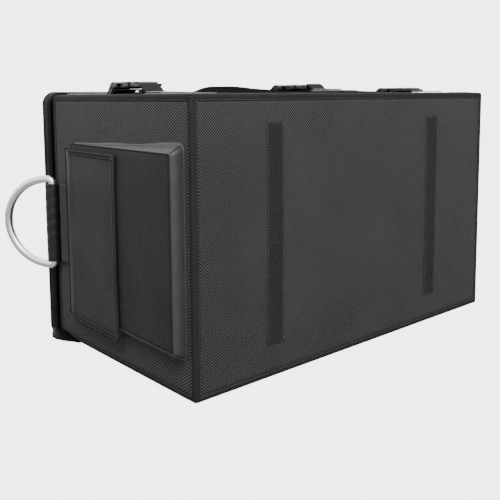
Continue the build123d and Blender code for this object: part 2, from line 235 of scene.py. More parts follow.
def ribbed(name, low, high, pitch, depth, roughness):
    """Grosgrain: ribs across the tape, one every pitch millimetres along it."""
    material, tree, shader = finish(name, roughness, specular_ior_level=0.03)
    waves, _ = lattice(tree, pitch, pitch)
    rib = spread(tree, waves[0], -1.0, 1.0)
    pattern = between(tree, rib, low, high)
    worn = between(tree, spread(tree, cloudy(tree, 25.0), 0.35, 0.75, 0.0, 0.10), pattern, "#4a4a4d")
    tree.links.new(worn, shader.inputs["Base Color"])
    bump(tree, shader, rib, depth)
    return material


edge_tape = ribbed("polyester_grosgrain_edge_tape", "#1b1b1c", "#313132", 1.8, 0.12, 0.65)
thread = finish("bonded_polyester_thread", 0.5, base_color=linear("#4e4e50"), specular_ior_level=0.25)[0]

# %% [markdown]
# Hook-and-loop tape is a woven band whose middle is a pile of tiny nylon loops. The pile is real
# geometry here; the finish only gives its matt black with pale glints where loops catch light.

# %% Hook-and-loop, leather, metal, plastic, board
def pile_finish():
    """Nylon loops: matt black, with pale glints where the curls catch light."""
    material, tree, shader = finish(
        "nylon_hook_and_loop_pile", 0.72, sheen_weight=0.08, sheen_roughness=0.5, specular_ior_level=0.12
    )
    glint = spread(tree, cloudy(tree, 1.3, 2.0), 0.35, 0.7)
    tree.links.new(between(tree, glint, "#171718", "#353536"), shader.inputs["Base Color"])
    bump(tree, shader, glint, 0.5)
    return material


def leather_finish():
    """Embossed synthetic leather: cells about 1.4 mm across, glossy lacquer, softly cloudy."""
    material, tree, shader = finish("embossed_synthetic_leather", 0.36, specular_ior_level=0.34)
    place = add(tree, "TexCoord").outputs["Object"]
    cells = add(tree, "TexVoronoi", {"Vector": place, "Scale": 1 / (1.4 * MM)}, feature="DISTANCE_TO_EDGE")
    grain = spread(tree, cells, 0.0, 0.12)
    tree.links.new(between(tree, grain, "#070708", "#111113"), shader.inputs["Base Color"])
    bump(tree, shader, grain, 0.10, 0.6)
    return material


def metal_finish():
    """Satin aluminium: drawn along the bar, so fine scratches run along it and blur the light across."""
    material, tree, shader = finish("satin_aluminium", 0.26, metallic=1.0)
    place = add(tree, "Mapping", {0: add(tree, "UVMap", uv_map="cloth"), "Scale": (60.0, 3000.0, 1.0)})
    streak = add(tree, "TexNoise", {"Vector": place, "Scale": 1.0, "Detail": 2.0})
    tree.links.new(between(tree, streak, "#e3e4e5", "#f7f7f8"), shader.inputs["Base Color"])
    tree.links.new(spread(tree, streak, 0.2, 0.8, 0.20, 0.34).outputs[0], shader.inputs["Roughness"])
    bump(tree, shader, streak, 0.01, 0.4)
    return material


def plastic_finish():
    """Moulded acetal: spark-eroded mould gives a fine even grain and a broad soft highlight."""
    material, tree, shader = finish("moulded_black_acetal", 0.32, specular_ior_level=0.4)
    grain = cloudy(tree, 0.5, 1.0)
    tone = spread(tree, cloudy(tree, 14.0), 0.3, 0.7)
    tree.links.new(between(tree, tone, "#0b0b0c", "#141416"), shader.inputs["Base Color"])
    bump(tree, shader, grain, 0.03, 0.5)
    return material


def board_finish():
    """Pressed fibreboard, seen only if cloth is lifted away."""
    material, tree, shader = finish("pressed_fibreboard", 0.8)
    tree.links.new(between(tree, cloudy(tree, 3.0), "#141415", "#202021"), shader.inputs["Base Color"])
    bump(tree, shader, cloudy(tree, 1.0), 0.05)
    return material


pile, leather, aluminium, acetal, fibreboard = (
    pile_finish(), leather_finish(), metal_finish(), plastic_finish(), board_finish()
)
print("materials", len(bpy.data.materials))

# %% [markdown]
# A surface is a grid of points P[i, j]: i runs along the first parameter, j along the second. Joining
# each point to its next neighbours gives quads. A grid may loop in either direction, and a tube's two
# ends may be closed with caps. The cloth map is worked out from the surface itself: each direction is
# measured along the grid in metres, so a weave keeps its real size.

# %% From grid to mesh
def grid_of(x, y, z):
    """One grid of points from its three coordinates, each stretched to the shape they share."""
    return np.stack(np.broadcast_arrays(x, y, z), -1)


def steps(points, loop):
    """Mean distance between successive rows of a grid, summed up: 0 at the first row."""
    following = np.roll(points, -1, 0) if loop else points[1:]
    apart = np.linalg.norm(following - points[: len(following)], axis=-1).mean(-1)
    return np.concatenate(([0.0], np.cumsum(apart)))


def turn_outward(points, faces, facing):
    """Reverses all faces if the shell's signed volume, or its mean normal against facing, is negative."""
    a, b, c = (points[faces[:, k]] for k in (0, 1, 2))
    d = points[faces[:, -1]]
    normals = np.cross(c - a, d - b)
    if facing is None:
        value = (normals * (a + c)).sum()
    else:
        value = (normals.sum(0) * np.asarray(facing)).sum()
    return faces[:, ::-1] if value < 0 else faces


def add_mesh(name, points, faces, corner_uv, material, smooth=50):
    """Mesh from points in millimetres, equal-sized faces, and one map position in metres for each corner."""
    mesh = bpy.data.meshes.new(name)
    mesh.from_pydata((points * MM).tolist(), [], [f.tolist() for f in faces])
    layer = mesh.uv_layers.new(name="cloth")
    layer.data.foreach_set("uv", np.concatenate([u.reshape(-1) for u in corner_uv]).astype(np.float32))
    mesh.shade_smooth()
    if smooth:
        mesh.set_sharp_from_angle(angle=math.radians(smooth))
    mesh.materials.append(material)
    made = bpy.data.objects.new(name, mesh)
    bpy.context.scene.collection.objects.link(made)
    return made


def surface(name, grid, material, body, loop=(False, False), caps=False, facing=None, thick=0.0, smooth=50):
    """A piece from a grid of points. facing is a rough outward direction for an open sheet; thick gives an
    open sheet its thickness, inward."""
    nu, nv = grid.shape[:2]
    i, j = (np.arange(n if wrap else n - 1) for n, wrap in ((nu, loop[0]), (nv, loop[1])))
    i, j = (a.ravel() for a in np.meshgrid(i, j, indexing="ij"))
    i2, j2 = i + 1, j + 1
    corners = [(i, j), (i2, j), (i2, j2), (i, j2)]
    faces = np.stack([(a % nu) * nv + b % nv for a, b in corners], 1)
    u = steps(grid, loop[0]) * MM
    v = steps(grid.swapaxes(0, 1), loop[1]) * MM
    uv = np.stack([np.stack((u[a], v[b]), -1) for a, b in corners], 1)
    points = grid.reshape(-1, 3)
    turned = turn_outward(points, faces, facing)
    flipped = turned is not faces
    blocks, maps = list(turned), [uv[:, ::-1] if flipped else uv]
    if caps:
        first, last = np.arange(nv), (nu - 1) * nv + np.arange(nv)
        ends = [first, last[::-1]] if not flipped else [first[::-1], last]
        blocks += ends
        for end in ends:
            maps.append((points[end] @ np.array(((1, 0), (0, 1), (0.5, 0.5)))) * MM)
    made = add_mesh(name, points, blocks, maps, material, smooth)
    if thick:
        wall = made.modifiers.new("thickness", "SOLIDIFY")
        wall.thickness = thick * MM
        wall.offset = -1
    if body:
        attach(made, body)
    return made


def dress(nodes, material, bevel=0.0):
    """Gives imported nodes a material; bevel in millimetres rounds their edges with live modifiers."""
    for name in nodes:
        item = frame["nodes"][name]
        item.data.materials.clear()
        item.data.materials.append(material)
        if bevel:
            weld = item.modifiers.new("weld", "WELD")
            weld.merge_threshold = 1e-6
            round_off = item.modifiers.new("round", "BEVEL")
            round_off.width = bevel * MM
            round_off.segments = 2
            round_off.limit_method = "ANGLE"
            round_off.angle_limit = math.radians(35)


def smoothstep(t):
    """3t^2 - 2t^3 between 0 and 1."""
    t = np.clip(t, 0, 1)
    return t * t * (3 - 2 * t)


def chaikin(path, rounds, closed=False):
    """Rounds a polyline's corners: each pass keeps the points at 1/4 and 3/4 of every run."""
    path = np.asarray(path, float)
    for _ in range(rounds):
        nxt = np.roll(path, -1, 0) if closed else path[1:]
        cur = path[: len(nxt)]
        cut = np.stack((0.75 * cur + 0.25 * nxt, 0.25 * cur + 0.75 * nxt), 1).reshape(-1, path.shape[1])
        path = cut if closed else np.concatenate((path[:1], cut, path[-1:]))
    return path


def resample(path, pitch=None, count=None):
    """Points at equal distances along a polyline."""
    gone = np.concatenate(([0.0], np.cumsum(np.linalg.norm(np.diff(path, axis=0), axis=1))))
    n = count or max(2, int(round(gone[-1] / pitch)) + 1)
    at = np.linspace(0, gone[-1], n)
    return np.stack([np.interp(at, gone, path[:, k]) for k in range(path.shape[1])], 1)


# %% [markdown]
# Lock stitches run beside every tape. One stitch is a grain of thread half sunk in the cloth: an
# ellipsoid with pointed ends, 30 small faces. All the stitches of a row are placed at once: each gets
# its place, its direction and the cloth's normal, and the same small shape is turned to them.

# %% Stitch rows
STITCH = (1.35, 0.36, 0.34)  # half length, half width, half height
PITCH_MM = 3.7
fifths = np.arange(5) * 2 * math.pi / 5
ribs = [[t, r * math.cos(a), r * math.sin(a)] for t, r in ((-0.6, 0.8), (0, 1), (0.6, 0.8)) for a in fifths]
tips = np.array([[-1, 0, 0]] + ribs + [[1, 0, 0]])
ring_a = np.arange(5)
ring_b = (ring_a + 1) % 5
stitch_faces = [np.stack((np.zeros(5, int), 1 + ring_b, 1 + ring_a), 1)]
for row in (1, 6):
    stitch_faces += [
        np.stack((row + ring_a, row + ring_b, row + 5 + ring_b), 1),
        np.stack((row + ring_a, row + 5 + ring_b, row + 5 + ring_a), 1),
    ]
stitch_faces.append(np.stack((np.full(5, 16), 11 + ring_a, 11 + ring_b), 1))
stitch_faces = np.concatenate(stitch_faces)


def stitch_rows(name, rows, body, material=None, pitch=PITCH_MM):
    """rows: pairs of a polyline and a normal (one for the row, or one for each polyline point). A stitch
    stands every pitch along each: place + direction*x + side*y + normal*z."""
    places, ahead_, normals = [], [], []
    for path, normal in rows:
        path = np.asarray(path, float)
        normal = np.broadcast_to(np.asarray(normal, float), path.shape)
        both = resample(np.concatenate((path, normal), 1), pitch / 2)
        middle = both[1:-1:2]
        places.append(middle[:, :3])
        ahead_.append((both[2::2] - both[:-2:2])[: len(middle), :3])
        normals.append(middle[:, 3:])
    place, t, n = (np.concatenate(a) for a in (places, ahead_, normals))
    t /= np.linalg.norm(t, axis=1, keepdims=True)
    side = np.cross(n, t)
    side /= np.linalg.norm(side, axis=1, keepdims=True)
    n = np.cross(t, side)
    points = place[:, None]
    for reach, way in zip((tips * STITCH).T, (t, side, n)):
        points = points + reach[:, None] * way[:, None]
    faces = (stitch_faces[None] + (np.arange(len(place)) * len(tips))[:, None, None]).reshape(-1, 3)
    made = add_mesh(name, points.reshape(-1, 3), faces, [np.zeros((len(faces), 3, 2))], material or thread, 0)
    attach(made, body)
    print(name, len(place), "stitches")


# %% [markdown]
# The five walls are cloth drawn over stiff boards. A sewn cover is never quite flat: it crowns a
# little in the middle, ripples softly where it isn't glued, and puckers along its seams. That is a
# height over the flat wall, so each wall is a grid moved outward by that height.

# %% Wall cloth
TAPE_SHOWN = 7.4  # the tape's leg after it is pulled round the edge
UNDER_TAPE = 4.4  # how far the wall's cloth runs under the tape


def crown(a, b, size_a, size_b, rise, ripple, phase):
    """rise*sin(pi a/A)*sin(pi b/B), plus ripple times long sine waves, plus small puckers that fade in 14 mm
    from the seams; zero at the border."""
    u, v = a / size_a, b / size_b
    dome = np.sin(np.pi * u) * np.sin(np.pi * v)
    waves = (
        np.sin(2 * np.pi * (a / 173 + b / 411) + phase)
        + 0.7 * np.sin(2 * np.pi * (b / 127 - a / 530) + 2 * phase)
        + 0.5 * np.sin(2 * np.pi * (a / 89 + b / 151) + 3 * phase)
    )
    edge = np.minimum(np.minimum(a, size_a - a), np.minimum(b, size_b - b))
    pucker = 0.22 * np.exp(-edge / 7.0) * (np.sin(a / 3.1) + np.sin(b / 3.7))
    return rise * dome**0.6 + (ripple * waves * dome**0.5 + pucker) * smoothstep(edge / 6)


def wall_grid(size_a, size_b, rise, ripple, phase, step=6.0):
    """Grid coordinates a, b over a wall and its outward height."""
    a, b = np.meshgrid(
        np.linspace(0, size_a, int(size_a / step)), np.linspace(0, size_b, int(size_b / step)), indexing="ij"
    )
    return a, b, crown(a, b, size_a, size_b, rise, ripple, phase)


inset = TAPE - UNDER_TAPE
span_x, span_y, span_z = 2 * (HX - inset), YR - YB - 2 * inset, WIDTH - 2 * inset
wall_x0, wall_y0, wall_z0 = -HX + inset, YB + inset, inset
BASE = (span_x, span_z, 1.5, 0.30, 0.4)  # sides, crown, ripple and phase, as crown() takes them
FRONT = (span_x, span_y, 1.2, 0.30, 1.3)
a, b, h = wall_grid(*BASE)
walls = {"base_panel": (grid_of(a + wall_x0, YB - h, b + wall_z0), (0, -1, 0))}
a, b, h = wall_grid(*FRONT)
walls["front_panel"] = (grid_of(a + wall_x0, b + wall_y0, WIDTH + h), (0, 0, 1))
a, b, h = wall_grid(span_x, span_y, 0.5, 0.10, 2.1, 12.0)
walls["back_panel"] = (grid_of(a + wall_x0, b + wall_y0, np.maximum(h, 0) + 0.05), (0, 0, -1))
for side, word, phase in ((-1, "left", 0.9), (1, "right", 2.7)):
    a, b, h = wall_grid(span_y, span_z, 1.2, 0.30, phase)
    walls[f"{word}_end_panel"] = (grid_of(side * (HX + h), a + wall_y0, b + wall_z0), (side, 0, 0))
for name, (grid, facing) in walls.items():
    weave = end_oxford if "end" in name else front_oxford if "front" in name else oxford
    new_name = name.replace("_panel", "_wall_cloth")
    cloth = surface(new_name, grid, weave, "bag", facing=facing, thick=1.0)
    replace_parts(cloth, name)
    size = [steps(g, False)[-1] * MM for g in (grid, grid.swapaxes(0, 1))]
    print(cloth.name, [round(s, 3) for s in size])


def base_y(x, z):
    """Y of the base cloth's outer face at x, z."""
    return YB - crown(x - wall_x0, z - wall_z0, *BASE)


# %% [markdown]
# Edge tape is sewn over every edge of the box: an L in section, 7.4 mm of it on each face, with a
# soft fold at the edge itself. Round the base and round the rim the section is carried along a rounded
# rectangle, drawn in or out by the section's own inset; on the four long edges it runs straight, and
# its fold gets rounder toward the rim.

# %% Edge tapes
FOLD = 2.6  # radius of the fold round the base
RIM_FOLD = 6.0  # and round the rim
PROUD = 0.7  # how far the tape stands out of the wall


def ring(inset, radius, corner=7, run=40):
    """Rounded rectangle round the box in XZ, drawn in by inset (an array): four arcs joined by straight
    runs, sampled alike for every inset. Gives [point, inset, xz]."""
    inset = np.atleast_1d(np.asarray(inset, float))
    half_x, half_z = HX - inset, WIDTH / 2 - inset
    r = np.maximum(radius - inset, 0.3)
    parts = []
    for k, (sx, sz) in enumerate(((1, 1), (-1, 1), (-1, -1), (1, -1))):
        angle = ((np.linspace(0, 1, corner) + k) * np.pi / 2)[:, None]
        parts.append(
            np.stack((sx * (half_x - r) + r * np.cos(angle), sz * (half_z - r) + r * np.sin(angle)), -1)
        )
    t = np.linspace(0, 1, run + 2)[1:-1, None, None]
    joined = []
    for part, following in zip(parts, parts[1:] + parts[:1]):
        joined += [part, part[-1] * (1 - t) + following[0] * t]
    out = np.concatenate(joined)
    out[..., 1] += WIDTH / 2
    return out


def fold_section(leg_a, leg_b, radius, proud=PROUD, inner=0.5, arc=7):
    """Closed L section (p, q): p is the inset from one face, q from the other. Outside it goes down one
    leg, round the fold and along the other; inside it comes back, and the two ends are rounded."""
    angle = np.linspace(np.pi, 1.5 * np.pi, arc)
    r = radius + proud
    bend = np.stack((radius + r * np.cos(angle), radius + r * np.sin(angle)), 1)
    start, end = [[-proud * 0.35, leg_a], [-proud, leg_a - 1.2]], [[leg_b - 1.2, -proud], [leg_b, -proud * 0.35]]
    outside = np.concatenate((start, bend, end))
    r2 = max(radius - inner, 0.5)
    bend2 = np.stack((inner + r2 + r2 * np.cos(angle), inner + r2 + r2 * np.sin(angle)), 1)
    inside = np.concatenate(([[inner, leg_a - 0.3]], bend2, [[leg_b - 0.3, inner]]))
    return np.concatenate((outside, inside[::-1]))


section = fold_section(TAPE_SHOWN, TAPE_SHOWN, FOLD)
outline = ring(section[:, 0], FOLD)
base_tape = grid_of(outline[..., 0], YB + section[:, 1], np.maximum(outline[..., 1], 0))
piece = surface("base_edge_tape", base_tape, edge_tape, "bag", loop=(True, True))
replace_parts(piece, "base_binding")

rise = np.linspace(0, 1, 40)
fold_radii = FOLD + (RIM_FOLD - FOLD) * smoothstep(rise)
rows = np.stack([fold_section(TAPE_SHOWN, TAPE_SHOWN, radius) for radius in fold_radii])
along = (YB + TAPE_SHOWN - 2 + (YR - YB - 2 * TAPE_SHOWN + 4) * rise)[:, None]
for side, word in ((-1, "left"), (1, "right")):
    for front, place in ((True, "front"), (False, "back")):
        z = WIDTH - rows[..., 1] if front else np.maximum(rows[..., 1], 0)
        grid = grid_of(side * (HX - rows[..., 0]), along, z)
        new_name = f"{word}_{place}_edge_tape"
        piece = surface(new_name, grid, edge_tape, "bag", loop=(False, True), caps=True)
        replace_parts(piece, f"{word}_{place}_edge_binding")

# section of the rim's tape (inset, depth below the rim): down the outside, over the top, down the inside
rim = [(-0.35, 7.8), (-0.75, 6.6), (-0.85, 3.0), (-0.6, 0.9), (0.6, -0.2), (3.0, -0.3), (5.4, -0.2), (6.6, 0.9)]
rim += [(6.9, 3.0), (6.8, 8.4), (6.2, 9.0), (5.7, 8.0), (5.5, 1.2), (3.0, 0.8), (1.0, 1.2), (0.6, 8.6)]
rim = chaikin(rim, 1, True)
outline = ring(rim[:, 0], RIM_FOLD)
grid = grid_of(outline[..., 0], YR - rim[:, 1], np.maximum(outline[..., 1], 0))
piece = surface("rim_edge_tape", grid, edge_tape, "bag", loop=(True, True))
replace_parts(piece, "rim_binding")

# %% [markdown]
# Each tape is sewn down near the end of its legs. A machine does this in one straight row to a face,
# so the rows are straight lines a little in from the tape's edge, and just proud of it.

# %% Stitches beside the edge tapes
SEW_IN = TAPE_SHOWN - 1.5
x1, z1 = HX - SEW_IN, WIDTH - SEW_IN
ends = [(-x1, SEW_IN), (x1, SEW_IN), (x1, z1), (-x1, z1), (-x1, SEW_IN)]
lift = PROUD + 0.05
rows = [([(p[0], YB - lift, p[1]), (q[0], YB - lift, q[1])], (0, -1, 0)) for p, q in zip(ends, ends[1:])]
y_low, y_high = YB + SEW_IN, YR - SEW_IN
for side in (-1, 1):
    X = side * (HX + lift)
    rows += [([(X, y_low, z), (X, y_high, z)], (side, 0, 0)) for z in (SEW_IN, z1)]
    rows += [([(X, y, SEW_IN), (X, y, z1)], (side, 0, 0)) for y in (y_low, y_high)]
    rows.append(([(side * x1, y_low, WIDTH + lift), (side * x1, y_high, WIDTH + lift)], (0, 0, 1)))
rows += [([(-x1, y, WIDTH + lift), (x1, y, WIDTH + lift)], (0, 0, 1)) for y in (y_low, y_high)]
stitch_rows("edge_tape_stitches", rows, "bag")

# %% [markdown]
# The studio: a plain pale floor, a white surround, a broad soft key light before the base, a small dim
# fill off the pocket end that keeps the end wall half a tone darker, and a soft light from behind. The
# surround looks white to the eye but lights the cloth far less, so that black stays black.

# %% Floor and lights
FLOOR, BELOW = 4.0, 0.0002  # half the floor's side, and its place just under the bag, in metres
floor = bpy.data.meshes.new("floor")
floor_corners = [(x * FLOOR, y * FLOOR, -BELOW) for x, y in ((-1, -1), (1, -1), (1, 1), (-1, 1))]
floor.from_pydata(floor_corners, [], [(0, 1, 2, 3)])
paper, tree, shader = finish("pale_paper_sweep", 0.9, base_color=linear("#9c9c9c"), emission_color=linear("#ffffff"))
glow = add(tree, "Math", {0: add(tree, "LightPath").outputs["Is Camera Ray"], 1: 4.1}, operation="MULTIPLY")
tree.links.new(glow.outputs[0], shader.inputs["Emission Strength"])
floor.materials.append(paper)
floor = bpy.data.objects.new("floor", floor)
bpy.context.scene.collection.objects.link(floor)
world = bpy.data.worlds.new("white_surround")
bpy.context.scene.world = world
world.use_nodes = True
sky = world.node_tree
sky.nodes["Background"].inputs["Color"].default_value = linear("#ffffff")
rays = add(sky, "LightPath")
seen = spread(sky, rays.outputs["Is Camera Ray"], 0, 1, 0.42, 4.5)
mirrored = spread(sky, rays.outputs["Is Glossy Ray"], 0, 1, 0.0, 1.6)
both = add(sky, "Math", {0: seen, 1: mirrored}, operation="ADD")
sky.links.new(both.outputs[0], sky.nodes["Background"].inputs["Strength"])


def soft_light(name, place, aim, size, power):
    """Square area light at place, turned to face aim."""
    light = bpy.data.objects.new(name, bpy.data.lights.new(name, "AREA"))
    light.data.size = size
    light.data.energy = power
    bpy.context.scene.collection.objects.link(light)
    back = np.array(place, float) - aim
    back /= np.linalg.norm(back)
    across = np.cross((0, 0, 1), back)
    across /= np.linalg.norm(across)
    axes = np.stack((across, np.cross(back, across), back), 1)
    light.matrix_world = Matrix([[*row, p] for row, p in zip(axes, place)] + [[0, 0, 0, 1]])
    print(name, "light,", power, "W")


soft_light("key", (-0.3, -1.9, 1.7), (0, 0, 0.15), 1.2, 44)
soft_light("fill", (-0.8, -0.5, 0.95), (-0.25, 0, 0.25), 0.45, 11)
soft_light("back", (1.5, 2.2, 1.2), (0, 0, 0.15), 1.2, 20)

# %% [markdown]
# Two bands of hook-and-loop tape cross the base, to grip a car boot's carpet. The band is woven, with
# a flat selvedge on each side; its middle is a pile of nylon loops in rows. The ground is a grid with
# rows raised on it, and about twelve hundred small loops stand on each band, leaning with the nap.

# %% Grip strips
def pile_height(s, t, half, length):
    """Flat selvedge, then the pile: rows 2.2 mm apart along the band, ragged at the sides, rounded ends."""
    ragged = 0.35 * np.sin(t * 2.1) + 0.3 * np.sin(t * 0.83 + 1) + 0.2 * np.sin(t * 4.7)
    inside = smoothstep((half - 2.3 + ragged - np.abs(s)) / 1.0) * smoothstep((length / 2 - 2.0 - np.abs(t)) / 1.2)
    rows = 0.5 + 0.5 * np.cos(2 * np.pi * (t + 0.25 * np.sin(s * 0.9)) / 2.2)
    rib = 0.12 * np.cos(2 * np.pi * t / 1.1)
    return 0.75 + rib * (1 - inside) + inside * (0.35 + 0.55 * rows + 0.1 * np.sin(3.3 * s + 2.7 * t))


def loops(place, heading, up, radius, wire=0.15, bends=7):
    """Half rings: place + radius*(cos f * heading + sin f * up) for f from 0 to pi, with a three-sided wire
    of the given radius about that line."""
    f = np.linspace(0, np.pi, bends)[None, :, None]
    g = (np.arange(3) * 2 * np.pi / 3)[None, None, :]
    side = np.cross(heading, up)
    line = np.cos(f)[..., None] * heading[:, None, None] + 1.25 * np.sin(f)[..., None] * up[:, None, None]
    ring_ = np.cos(g)[..., None] * line + np.sin(g)[..., None] * side[:, None, None]
    points = place[:, None, None] + radius[:, None, None, None] * line + wire * ring_
    i, j = (q.ravel() for q in np.meshgrid(np.arange(bends - 1), np.arange(3), indexing="ij"))
    one = np.stack((i * 3 + j, (i + 1) * 3 + j, (i + 1) * 3 + (j + 1) % 3, i * 3 + (j + 1) % 3), 1)
    faces = (one[None] + (np.arange(len(place)) * bends * 3)[:, None, None]).reshape(-1, 4)
    return points.reshape(-1, 3), faces


for word in ("left", "right"):
    low, high = extent(f"{word}_grip_strip")
    middle, half, length = (low[0] + high[0]) / 2, (high[0] - low[0]) / 2, high[2] - low[2]
    s, t = np.meshgrid(np.linspace(-half, half, 46), np.linspace(-length / 2, length / 2, 560), indexing="ij")
    x, z = middle + s, (low[2] + high[2]) / 2 + t
    edge_round = 0.5 * smoothstep((half - np.abs(s)) / 0.6) + 0.5
    grid = grid_of(x, base_y(x, z) - pile_height(s, t, half, length) * edge_round, z)
    band = surface(f"{word}_grip_band", grid, pile, "bag", facing=(0, -1, 0), thick=0.6)
    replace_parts(band, f"{word}_grip_strip")
    across, along = np.arange(-half + 3, half - 2.5, 1.75), np.arange(-length / 2 + 3, length / 2 - 2, 2.2)
    s, t = np.meshgrid(across, along, indexing="ij")
    s = s.ravel() + rng.normal(0, 0.5, s.size)
    t = t.ravel() + rng.normal(0, 0.25, t.size)
    x, z = middle + s, (low[2] + high[2]) / 2 + t
    place = grid_of(x, base_y(x, z) - pile_height(s, t, half, length) + 0.1, z)
    turn = rng.normal(0.9, 0.7, len(s))
    lean = rng.normal(0, 0.25, (2, len(s)))
    heading = grid_of(np.cos(turn), 0 * turn, np.sin(turn))
    up = grid_of(lean[0], -1.0, lean[1])
    up /= np.linalg.norm(up, axis=1, keepdims=True)
    points, faces = loops(place, heading, up, rng.uniform(0.45, 0.95, len(s)))
    nap = add_mesh(f"{word}_grip_loops", points, faces, [np.zeros((len(faces), 4, 2))], pile, 0)
    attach(nap, "bag")
    zz = np.linspace(low[2] + 2, high[2] - 2, 60)
    edges = [middle + edge * (half - 1.2) for edge in (-1, 1)]
    rows = [(grid_of(xx, base_y(xx, zz) - 0.85, zz), (0, -1, 0)) for xx in edges]
    stitch_rows(f"{word}_grip_stitches", rows, "bag")
    print(word, "grip band with", len(s), "loops")

# %% [markdown]
# The end pocket is a flat face of woven cloth on a smooth gusset: a strip that runs down one side,
# along the bottom and up the other, deeper toward the base. It is sewn to the face and to the wall, and
# between the two seams it rolls outward. The strip is a surface between two U-shaped lines, the seam on
# the wall and the seam on the face, with a bulge added between them.

# %% End pocket
face_low, face_high = extent("end_pocket_face")
POCKET_Y0, POCKET_Y1 = face_low[1], face_high[1]
POCKET_Z0, POCKET_Z1 = face_low[2], face_high[2]
DEEP = -HX - face_low[0]
SLOPE = (DEEP - 6.5) / (POCKET_Y1 - POCKET_Y0)
FACE_INSET = (5.0, 9.5, 1.0)  # from the wall seam: top, bottom, base side


def pocket_x(y):
    """X of the pocket's face at y: it leans in toward the mouth."""
    return -HX - DEEP + (y - POCKET_Y0) * SLOPE


def pillow(y, z):
    """Slack of the face: a shallow dome and two soft diagonal folds, zero at its seams."""
    u = np.clip((y - POCKET_Y0) / (POCKET_Y1 - POCKET_Y0), 0, 1)
    v = np.clip((z - POCKET_Z0) / (POCKET_Z1 - POCKET_Z0), 0, 1)
    dome = (np.sin(np.pi * u) * np.sin(np.pi * v)) ** 0.7
    folds = 0.35 * np.sin(2 * np.pi * (u * 1.3 + v * 0.9) + 0.6) + 0.2 * np.sin(2 * np.pi * (v * 2.2 - u * 0.7))
    return dome * (0.9 + folds)


BAY_SIDE, BAY_CORNER, BAY_RUN = 44, 9, 50  # points along a side, round a corner and along the far side


def bay(y_open, y_far, z_low, z_high, radius, side=BAY_SIDE, corner=BAY_CORNER, run=BAY_RUN):
    """U-shaped line in YZ: from (y_open, z_high) to the far side, round two corners, and back to
    (y_open, z_low). Gives the points and the outward direction at each."""
    r = radius
    a1 = np.linspace(0.5 * np.pi, np.pi, corner)
    a2 = np.linspace(np.pi, 1.5 * np.pi, corner)
    top = np.stack((np.linspace(y_open, y_far + r, side), np.full(side, z_high)), 1)[:-1]
    arc1 = np.stack((y_far + r + r * np.cos(a1), z_high - r + r * np.sin(a1)), 1)
    far = np.stack((np.full(run, y_far), np.linspace(z_high - r, z_low + r, run)), 1)[1:-1]
    arc2 = np.stack((y_far + r + r * np.cos(a2), z_low + r + r * np.sin(a2)), 1)
    bottom = np.stack((np.linspace(y_far + r, y_open, side), np.full(side, z_low)), 1)[1:]
    round1, round2 = (np.stack((np.cos(a), np.sin(a)), 1) for a in (a1, a2))
    up, away, down = np.tile((0, 1), (len(top), 1)), np.tile((-1, 0), (len(far), 1)), np.tile((0, -1), (len(bottom), 1))
    return np.concatenate((top, arc1, far, arc2, bottom)), np.concatenate((up, round1, away, round2, down))


seam, out_dir = bay(POCKET_Y1, POCKET_Y0, POCKET_Z0, POCKET_Z1, 7.0)
near_base = np.clip((POCKET_Y1 - seam[:, 0]) / (POCKET_Y1 - POCKET_Y0), 0, 1)
upper = np.clip((seam[:, 1] - 150) / 100, 0, 1)
seam[:, 1] += upper * (-6 + 10 * near_base)
FACE_Y0, FACE_Z0, FACE_Z1 = POCKET_Y0 + FACE_INSET[2], POCKET_Z0 + FACE_INSET[1], POCKET_Z1 - FACE_INSET[0]
face_line, _ = bay(POCKET_Y1, FACE_Y0, FACE_Z0, FACE_Z1, 1.6)
s = np.linspace(0, 1, 15)[None, :, None]
wall_line = np.column_stack((np.full(len(seam), -HX - 1.4), seam))[:, None]
front_line = np.column_stack((pocket_x(face_line[:, 0]) + 0.3, face_line))[:, None]
outward = np.column_stack((np.zeros(len(seam)), out_dir))[:, None]
depth = (wall_line - front_line)[..., :1]
roll = 0.20 * depth * np.sin(np.pi * s) ** 0.8 * (1 - 0.35 * s)
ripple = 0.25 * np.sin(np.arange(len(seam)) * 0.9)[:, None, None] * np.sin(np.pi * s)
skew = s + 0.16 * np.sin(np.pi * s)  # the strip leaves the wall steeply, then rolls over
strip = wall_line + (front_line - wall_line) * skew + outward * (roll + ripple)
flange = wall_line + outward * 2.6 + np.array((0.9, 0, 0))
strip = np.concatenate((flange, wall_line + outward * 1.3 + np.array((0.5, 0, 0)), strip), 1)
gusset = surface("end_pocket_gusset_strip", strip, gusset_cloth_painted_highlight, "bag", facing=None, thick=1.0)
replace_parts(gusset, "end_pocket_gusset")

y, z = np.meshgrid(np.linspace(FACE_Y0, POCKET_Y1, 60), np.linspace(FACE_Z0, FACE_Z1, 56), indexing="ij")
grid = grid_of(pocket_x(y) - pillow(y, z), y, z)
face = surface("end_pocket_woven_face", grid, pocket_weave, "bag", facing=(-1, 0, 0), thick=1.2)
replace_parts(face, "end_pocket_face")


def tube(name, path, radius, body, sides=6, loop=False):
    """A seam, hem or piping in edge tape, round in section, along a polyline: path + radius*(cos a * n +
    sin a * m), with n and m square to the path."""
    path = np.asarray(path, float)
    tangent = np.gradient(path, axis=0) if not loop else np.roll(path, -1, 0) - np.roll(path, 1, 0)
    tangent /= np.linalg.norm(tangent, axis=1, keepdims=True)
    helper = np.where(np.abs(tangent[:, :1]) < 0.8, (1.0, 0, 0), (0, 1.0, 0))
    n = np.cross(tangent, helper)
    n /= np.linalg.norm(n, axis=1, keepdims=True)
    m = np.cross(tangent, n)
    a_ = np.arange(sides) * 2 * np.pi / sides
    cos, sin = np.cos(a_)[None, :, None], np.sin(a_)[None, :, None]
    grid_ = path[:, None] + radius * (cos * n[:, None] + sin * m[:, None])
    return surface(name, grid_, edge_tape, body, loop=(loop, True), caps=not loop)


